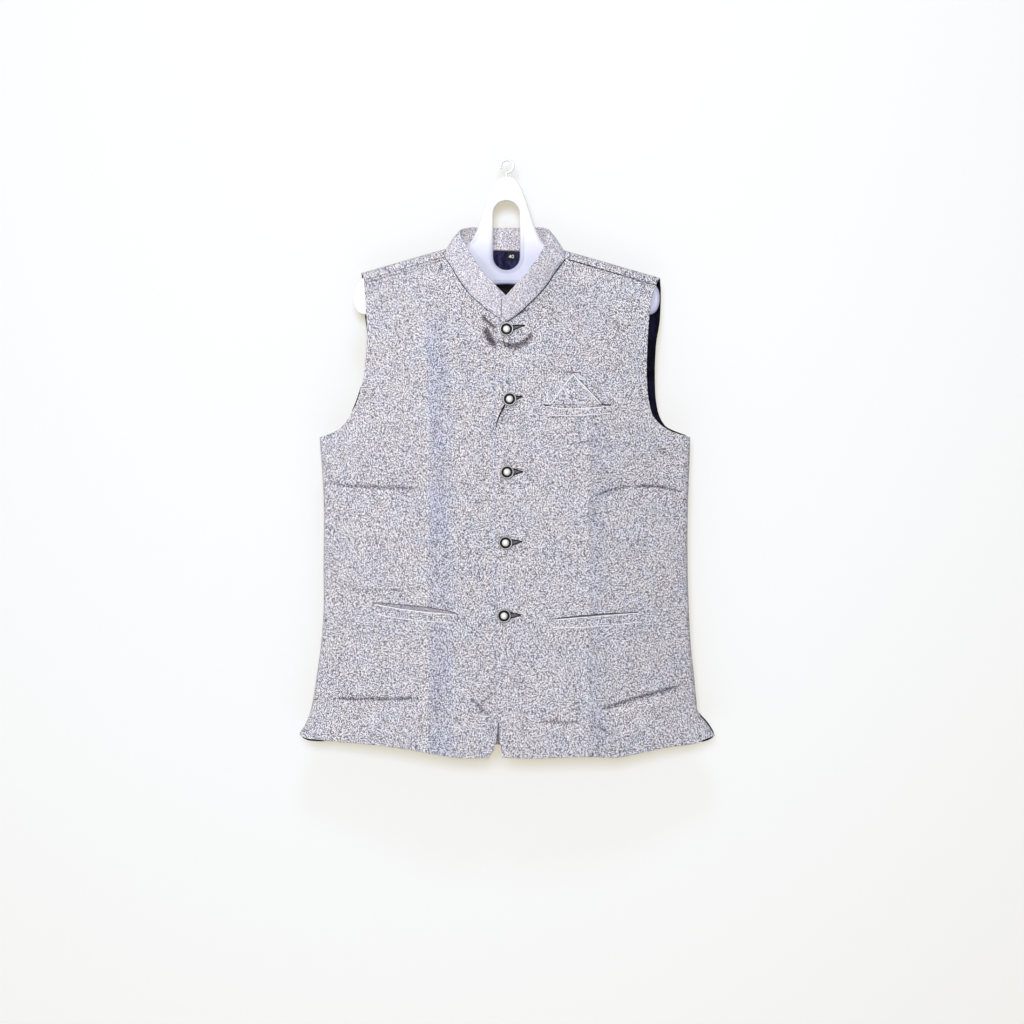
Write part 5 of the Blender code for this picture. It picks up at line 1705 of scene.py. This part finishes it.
def make_button(number, metal, enamel, dome):
    """A turned button: its outline carried round, with a finish for each band of it."""
    x, drop = BUTTONS[number - 1][:2]
    radius = np.array([row[0] for row in BUTTON_PROFILE])
    height = np.array([row[1] for row in BUTTON_PROFILE])
    around = np.linspace(0, 2 * math.pi, 9)[:-1]
    shank = BUTTON_PROFILE[1][0]
    seat_x = np.append(x, x + shank * np.cos(around))
    seat_drop = np.append(drop, drop + shank * np.sin(around))
    seat = front_place(seat_x, seat_drop)[:, 1].min() - SHANK_GAP
    turn = np.linspace(0, 2 * math.pi, BUTTON_SIDES, endpoint=False)
    y = np.broadcast_to(seat - height[1:-1, None], (len(radius) - 2, BUTTON_SIDES))
    ring = np.stack((x + radius[1:-1, None] * np.cos(turn), y, -drop + radius[1:-1, None] * np.sin(turn)),
                    axis=-1)
    points = np.vstack((ring.reshape(-1, 3), (x, seat, -drop), (x, seat - height[-1], -drop)))
    index = np.arange(y.size).reshape(y.shape)
    after = np.roll(index, -1, axis=1)
    skin = np.stack((index[:-1], index[1:], after[1:], after[:-1]), axis=-1).reshape(-1, 4)
    foot = np.column_stack((index[0], after[0], np.full(BUTTON_SIDES, len(points) - 2)))
    crown = np.column_stack((after[-1], index[-1], np.full(BUTTON_SIDES, len(points) - 1)))
    made = mesh_object("button_turned_%d" % number, points, [skin, np.vstack((foot, crown))])
    for finish in (metal, enamel, dome):
        made.data.materials.append(finish)
    order = ("rim", "groove", "dome")
    band = np.array([order.index(row[2]) for row in BUTTON_PROFILE])
    slots = np.concatenate((np.repeat(band[1:-2], BUTTON_SIDES), np.zeros(BUTTON_SIDES, int),
                            np.full(BUTTON_SIDES, order.index("dome"))))
    made.data.polygons.foreach_set("material_index", slots.astype(np.int32))
    declare(made, ("button_%d" % number,))


# ---------------------------------------------------------------- sewing and labels


def dashes(name, route, dash, gap, radius, thread, under):
    """A row of stitches along a line on a front: each a short arch, sunk into the cloth at its ends."""
    line = trace(route, 160)
    way = way_along(line)
    start = np.arange(0, way[-1] - dash, dash + gap)[:, None]
    t = np.linspace(0, 1, STITCH_POINTS)
    x, drop = (np.interp(start + dash * t, way, column) for column in line.T)
    declare(tubes(name, on_front(x, drop, arch(t, *STITCH_ARCH), under), radius, thread, 6))


def thread_line(name, route, radius, taper, height, thread, under=False, steps=40):
    """One thread lying along a line on a front, thinning to `taper` of its size at its far end."""
    size = radius * np.linspace(1, taper, steps + 1)
    laid_tube(name, trace(route, steps), size, size * 0.6 + height, thread, under)


def tag_middle(node):
    """y of the middle of a label's solid, in millimetres."""
    low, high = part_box(node)
    return (low[1] + high[1]) / 2 / MM


def make_label(name, box, finish, node, columns, rows):
    """A woven label on the inside of the back lining, its edges turned round."""
    x, drop = np.meshgrid(np.linspace(box[0], box[1], columns + 1), np.linspace(box[2], box[3], rows + 1))
    wave = LABEL_WAVE * np.sin(x / 6) * np.sin(drop / 5)
    back = np.stack((x, tag_middle(node) + LABEL_THICKNESS / 2 + wave, -drop), axis=-1)
    front = back - (0, LABEL_THICKNESS, 0)
    uv = flat_map(x, drop)
    declare(shell(name, front, back, uv, finish), (node,),
            sheet_facts(front, uv, None, "laid", ("satin_back",)))


def make_digits(thread):
    """The size, a plain 40 embroidered on its tag: each stroke a thick thread."""
    strokes = [np.linspace(*ends, 33) for ends in DIGIT_4]
    turn = np.linspace(0, 2 * math.pi, 33)
    x, y, half, tall = DIGIT_0
    strokes.append(np.column_stack((x + half * np.cos(turn), y + tall * np.sin(turn))))
    flat = np.array(strokes) + ((SIZE_TAG[0] + SIZE_TAG[1]) / 2, -(SIZE_TAG[2] + SIZE_TAG[3]) / 2)
    front = np.full(flat.shape[:2], tag_middle("size_tag") - DIGIT_LIFT)
    paths = np.stack((flat[..., 0], front, flat[..., 1]), axis=-1)
    declare(tubes("tag_digits", paths, DIGIT_RADIUS, thread, 8))


# ---------------------------------------------------------------- the hanger


def evenly(outline, count, smoothings):
    """A closed outline sampled evenly, its corners rounded by averaging neighbours."""
    closed = np.vstack((outline, outline[:1]))
    way = way_along(closed)
    line = at_ways(closed, way, np.linspace(0, way[-1], count, endpoint=False))
    for _ in range(smoothings):
        line = (np.roll(line, 1, axis=0) + 2 * line + np.roll(line, -1, axis=0)) / 4
    return line


def board_outline():
    """The hanger's outline from the top of its hump round to the right, then mirrored."""
    arm_x = np.linspace(BOARD_ARM_FROM, BOARD_ARM_TO, 24)
    sides = []
    for sign in (1, -1):
        arm = np.column_stack((arm_x, ridge(sign * arm_x + BOARD_X) + BOARD_UNDER_RIDGE))
        hump, end, bottom = trace(BOARD_HUMP, 24), trace(BOARD_END, 16), trace(BOARD_BOTTOM, 30)
        sides.append(np.vstack((hump, arm, end, bottom[1:])) * (sign, 1))
    return np.vstack((sides[0], sides[1][-2:0:-1])) + (BOARD_X, 0)


def slot_outline():
    """The slot in the hump: straight sides and two half-round ends."""
    turn = np.linspace(0, math.pi, 33)
    arc_x, arc_y = SLOT_HALF * np.cos(turn), SLOT_HALF * np.sin(turn)
    top = np.column_stack((arc_x, SLOT_TOP + SLOT_HALF - arc_y))
    bottom = np.column_stack((-arc_x, SLOT_BOTTOM - SLOT_HALF + arc_y))
    return np.vstack((top, bottom)) + (BOARD_X, 0)


def turning(outline):
    """1 or -1: which way round a closed outline runs."""
    after = np.roll(outline, -1, axis=0)
    return 1 if (outline[:, 0] * after[:, 1] - after[:, 0] * outline[:, 1]).sum() > 0 else -1


def into_material(outline, hole):
    """Unit directions across a closed outline into the board: to its inside, or away from a hole."""
    tangent = unit(np.roll(outline, -1, axis=0) - np.roll(outline, 1, axis=0))
    return np.column_stack((-tangent[:, 1], tangent[:, 0])) * turning(outline) * (-1 if hole else 1)


def make_board(plastic):
    """The hanger's board: its edge a half ellipse, y = half * sin(angle), inset = edge * (1 - cos(angle)),
    with a low bead on both faces beside every edge."""
    angle = np.linspace(0, math.pi / 2, 6)
    steps = np.array(BEAD_STEPS)
    inset = np.concatenate((BOARD_EDGE * (1 - np.cos(angle)), BOARD_EDGE + steps))
    lift = BOARD_BEAD * np.sin(np.clip(steps / steps[-2], 0, 1) * math.pi) ** 2
    height = np.concatenate((BOARD_HALF * np.sin(angle), BOARD_HALF + lift))
    profile = np.vstack((np.column_stack((inset[:0:-1], -height[:0:-1])), np.column_stack((inset, height))))
    points, quads, flats, faces = [], [], [], ([], [])
    start = 0
    for outline, hole in ((evenly(board_outline(), BOARD_POINTS, BOARD_SMOOTHINGS), False),
                          (evenly(slot_outline(), SLOT_POINTS, SLOT_SMOOTHINGS), True)):
        loop = outline + into_material(outline, hole) * profile[:, :1, None]
        y = np.broadcast_to(profile[:, 1:], loop.shape[:2])
        ring = np.stack((loop[..., 0], y, -loop[..., 1]), axis=-1)
        index = np.arange(loop[..., 0].size).reshape(loop.shape[:2]) + start
        after = np.roll(index, -1, axis=1)
        skin = np.stack((index[:-1], after[:-1], after[1:], index[1:]), axis=-1).reshape(-1, 4)
        quads.append(skin[:, ::turning(outline)])
        flats.append([Vector((px, pdrop, 0)) for px, pdrop in loop[0]])
        faces[0].append(index[0])
        faces[1].append(index[-1])
        points.append(ring.reshape(-1, 3))
        start += index.size
    points = np.vstack(points)
    near, far = (np.concatenate(side)[np.array(tessellate_polygon(flats))] for side in faces)
    to_back = facing(points, near)[:, 1:2] >= 0
    near, far = np.where(to_back, near[:, ::-1], near), np.where(to_back, far, far[:, ::-1])
    board = mesh_object("hanger_plastic", points, [np.vstack(quads), np.vstack((near, far))], None, plastic)
    shape = bmesh.new()
    shape.from_mesh(board.data)
    bmesh.ops.recalc_face_normals(shape, faces=shape.faces)
    shape.to_mesh(board.data)
    shape.free()
    declare(board, ("hanger_board",))


def make_hook(steel):
    """The wire hook: up from the hump, round under the bearing point and over it."""
    radius = HOOK_INNER + WIRE_RADIUS
    angles = np.radians(np.linspace(-90, HOOK_TIP_ANGLE, 72))
    stem = np.array(((BOARD_X, -HOOK_FOOT - 4), (BOARD_X, -HOOK_FOOT), (BOARD_X, -HOOK_FOOT + 1.5)))
    bend = np.column_stack((radius * np.cos(angles), radius * np.sin(angles) - HOOK_INNER))
    flat = trace(np.vstack((stem, bend)), 120)
    path = np.stack((flat[:, 0], np.zeros(len(flat)), flat[:, 1]), axis=-1)
    declare(tubes("hook_wire", path, WIRE_RADIUS, steel, 20), ("hanger_hook",))


# ---------------------------------------------------------------- studio


def area_light(name, place, aim, size, power, colour):
    """A rectangular soft light that faces its aim."""
    lamp = bpy.data.lights.new(name, "AREA")
    lamp.shape = "RECTANGLE"
    lamp.size, lamp.size_y = size
    lamp.energy = power
    lamp.color = colour
    made = bpy.data.objects.new(name, lamp)
    made.location = [c * MM for c in place]
    towards = Vector(aim) - Vector(place)
    made.rotation_euler = towards.to_track_quat("-Z", "Y").to_euler()
    bpy.context.scene.collection.objects.link(made)
    return made


def plane(name, corners, finish):
    """One large flat face."""
    return mesh_object(name, np.array(corners), [np.array(((0, 3, 2, 1),))], None, finish)


def make_stage():
    """A white wall that is clear from behind, and a pale floor well below the hem."""
    wall, sheet, shader = painted("white_wall", 0.9, specular=0.1)
    sheet.fill(shader, {"Base Color": WALL_PAINT, "Emission Color": WALL_GLOW, "Emission Strength": 1})
    behind = sheet.node("ShaderNodeNewGeometry").outputs["Backfacing"]
    clear = sheet.node("ShaderNodeBsdfTransparent").outputs[0]
    finish = sheet.fill(sheet.node("ShaderNodeMixShader"), {0: behind, 1: shader.outputs[0], 2: clear})
    sheet.put(wall.node_tree.nodes["Material Output"].inputs["Surface"], finish.outputs[0])
    floor, sheet, shader = painted("pale_floor", 0.7, specular=0.2)
    cloud = sheet.noise(sheet.place(), 2, 3)
    sheet.put(shader.inputs["Base Color"], sheet.mix(cloud, (0.78, 0.76, 0.72), (0.82, 0.80, 0.76)))
    foot = ((-STAGE_REACH, WALL_Y, -FLOOR_DROP), (STAGE_REACH, WALL_Y, -FLOOR_DROP))
    backdrop = plane("wall_white", ((-STAGE_REACH, WALL_Y, STAGE_REACH), (STAGE_REACH, WALL_Y, STAGE_REACH),
                                    *foot[::-1]), wall)
    backdrop.visible_shadow = False
    backdrop.visible_diffuse = False
    ground = plane("floor_pale", (*foot, (STAGE_REACH, -STAGE_REACH, -FLOOR_DROP),
                                  (-STAGE_REACH, -STAGE_REACH, -FLOOR_DROP)), floor)


def make_lights():
    """A pale surround, soft lights from the front and from above, and one from the side that leaves the
    wall alone."""
    world = bpy.data.worlds.new("studio")
    world.use_nodes = True
    Sheet(world.node_tree).fill(world.node_tree.nodes["Background"],
                                {"Color": WORLD_COLOUR, "Strength": WORLD_STRENGTH})
    bpy.context.scene.world = world
    beside_wall = bpy.data.collections.new("lit_from_the_left")
    for piece in list(bpy.context.scene.objects):
        if piece.type == "MESH" and piece.name != "wall_white":
            beside_wall.objects.link(piece)
    for *light, on_wall in LIGHTS:
        lamp = area_light(*light)
        if not on_wall:
            lamp.light_linking.receiver_collection = beside_wall


def make_camera():
    """The camera: level, straight in front of the chest."""
    lens = bpy.data.cameras.new("camera")
    lens.lens = CAMERA_LENS
    lens.sensor_width = SENSOR_WIDTH
    lens.clip_end = 100
    made = bpy.data.objects.new("camera", lens)
    made.location = [c * MM for c in CAMERA_PLACE]
    made.rotation_euler = (math.pi / 2, 0, 0)
    bpy.context.scene.collection.objects.link(made)
    bpy.context.scene.camera = made


# ---------------------------------------------------------------- everything, in order


def main():
    """Makes every piece, the studio and the camera."""
    make_camera()
    weave, wear = tweed_group(), wear_group()
    tweed = {name: cloth_material(name, weave, shade(WARP_COLOUR, warp), shade(WEFT_COLOUR, weft), *rest)
             for name, (warp, weft, *rest) in TWEEDS.items()}
    satin, piping = (satin_material(name, *colours) for name, colours in SATINS.items())
    steel, silver, dome = (metal_material(name, wear, *facts) for name, facts in METALS.items())
    black, grey, white, edge_highlight = (thread_material(name, *tones) for name, tones in THREADS.items())
    enamel = enamel_material(wear)
    ribbon = label_material()
    make_board(plastic_material(wear))
    make_hook(steel)
    wool, wool_left = tweed["wool_tweed"], tweed["wool_tweed_left"]
    pocket_painted_shade, hole_painted_shade = tweed["wool_pocket_painted_shade"], tweed["wool_hole_painted_shade"]
    right = make_front("right", wool, satin)
    back = make_back(wool, satin)
    left = make_front("left", wool_left, satin)
    make_collar((right, back, left), tweed["wool_collar"], grey)
    make_square(wool_left)
    make_welt("welt_chest", CHEST_WELT, wool_left, "chest_welt", False)
    make_welt("welt_hip_right", HIP_WELT_RIGHT, wool, "hip_welt_right", True)
    make_welt("welt_hip_left", HIP_WELT_LEFT, wool_left, "hip_welt_left", False)
    make_slit("slit_hip_right", HIP_SLIT_RIGHT, HIP_WELT_RIGHT[0], pocket_painted_shade, black, True)
    make_slit("slit_hip_left", HIP_SLIT_LEFT, HIP_WELT_LEFT[0], hole_painted_shade, black, False)
    # Pale tubes along the rolled edges: painted highlight
    for name, route, radius, height, under in EDGE_ROLLS:
        make_roll(name, route, radius, height, edge_highlight, under)
    # Dark tubes: painted shade in the neck and shoulder seams and the square's painted shadow, with the
    # pocket's bars and a welt's end
    for name, route, radius, height, under in SEAM_LINES:
        thread_line(name, route, radius, SEAM_LINE_TAPER, height, black, under, 120)
    for name, route, radius, under in PIPINGS:
        make_piping(name, route, radius, under, piping)
    for number in range(1, len(BUTTONS) + 1):
        make_button(number, silver, enamel, dome)
        make_buttonhole(number, black, hole_painted_shade)
    make_label("label_neck", NECK_LABEL, ribbon, "neck_label", 24, 14)
    make_label("tag_size", SIZE_TAG, ribbon, "size_tag", 10, 8)
    make_digits(white)
    for name, route, dash, gap, radius, under in STITCH_ROWS:
        dashes(name, route, dash, gap, radius, black if "chest" in name else grey, under)
    thread_line("thread_loose", LOOSE_THREAD, *LOOSE_THREAD_SIZE, black)
    make_stage()
    make_lights()
    bpy.context.scene.view_settings.view_transform = "Standard"


main()
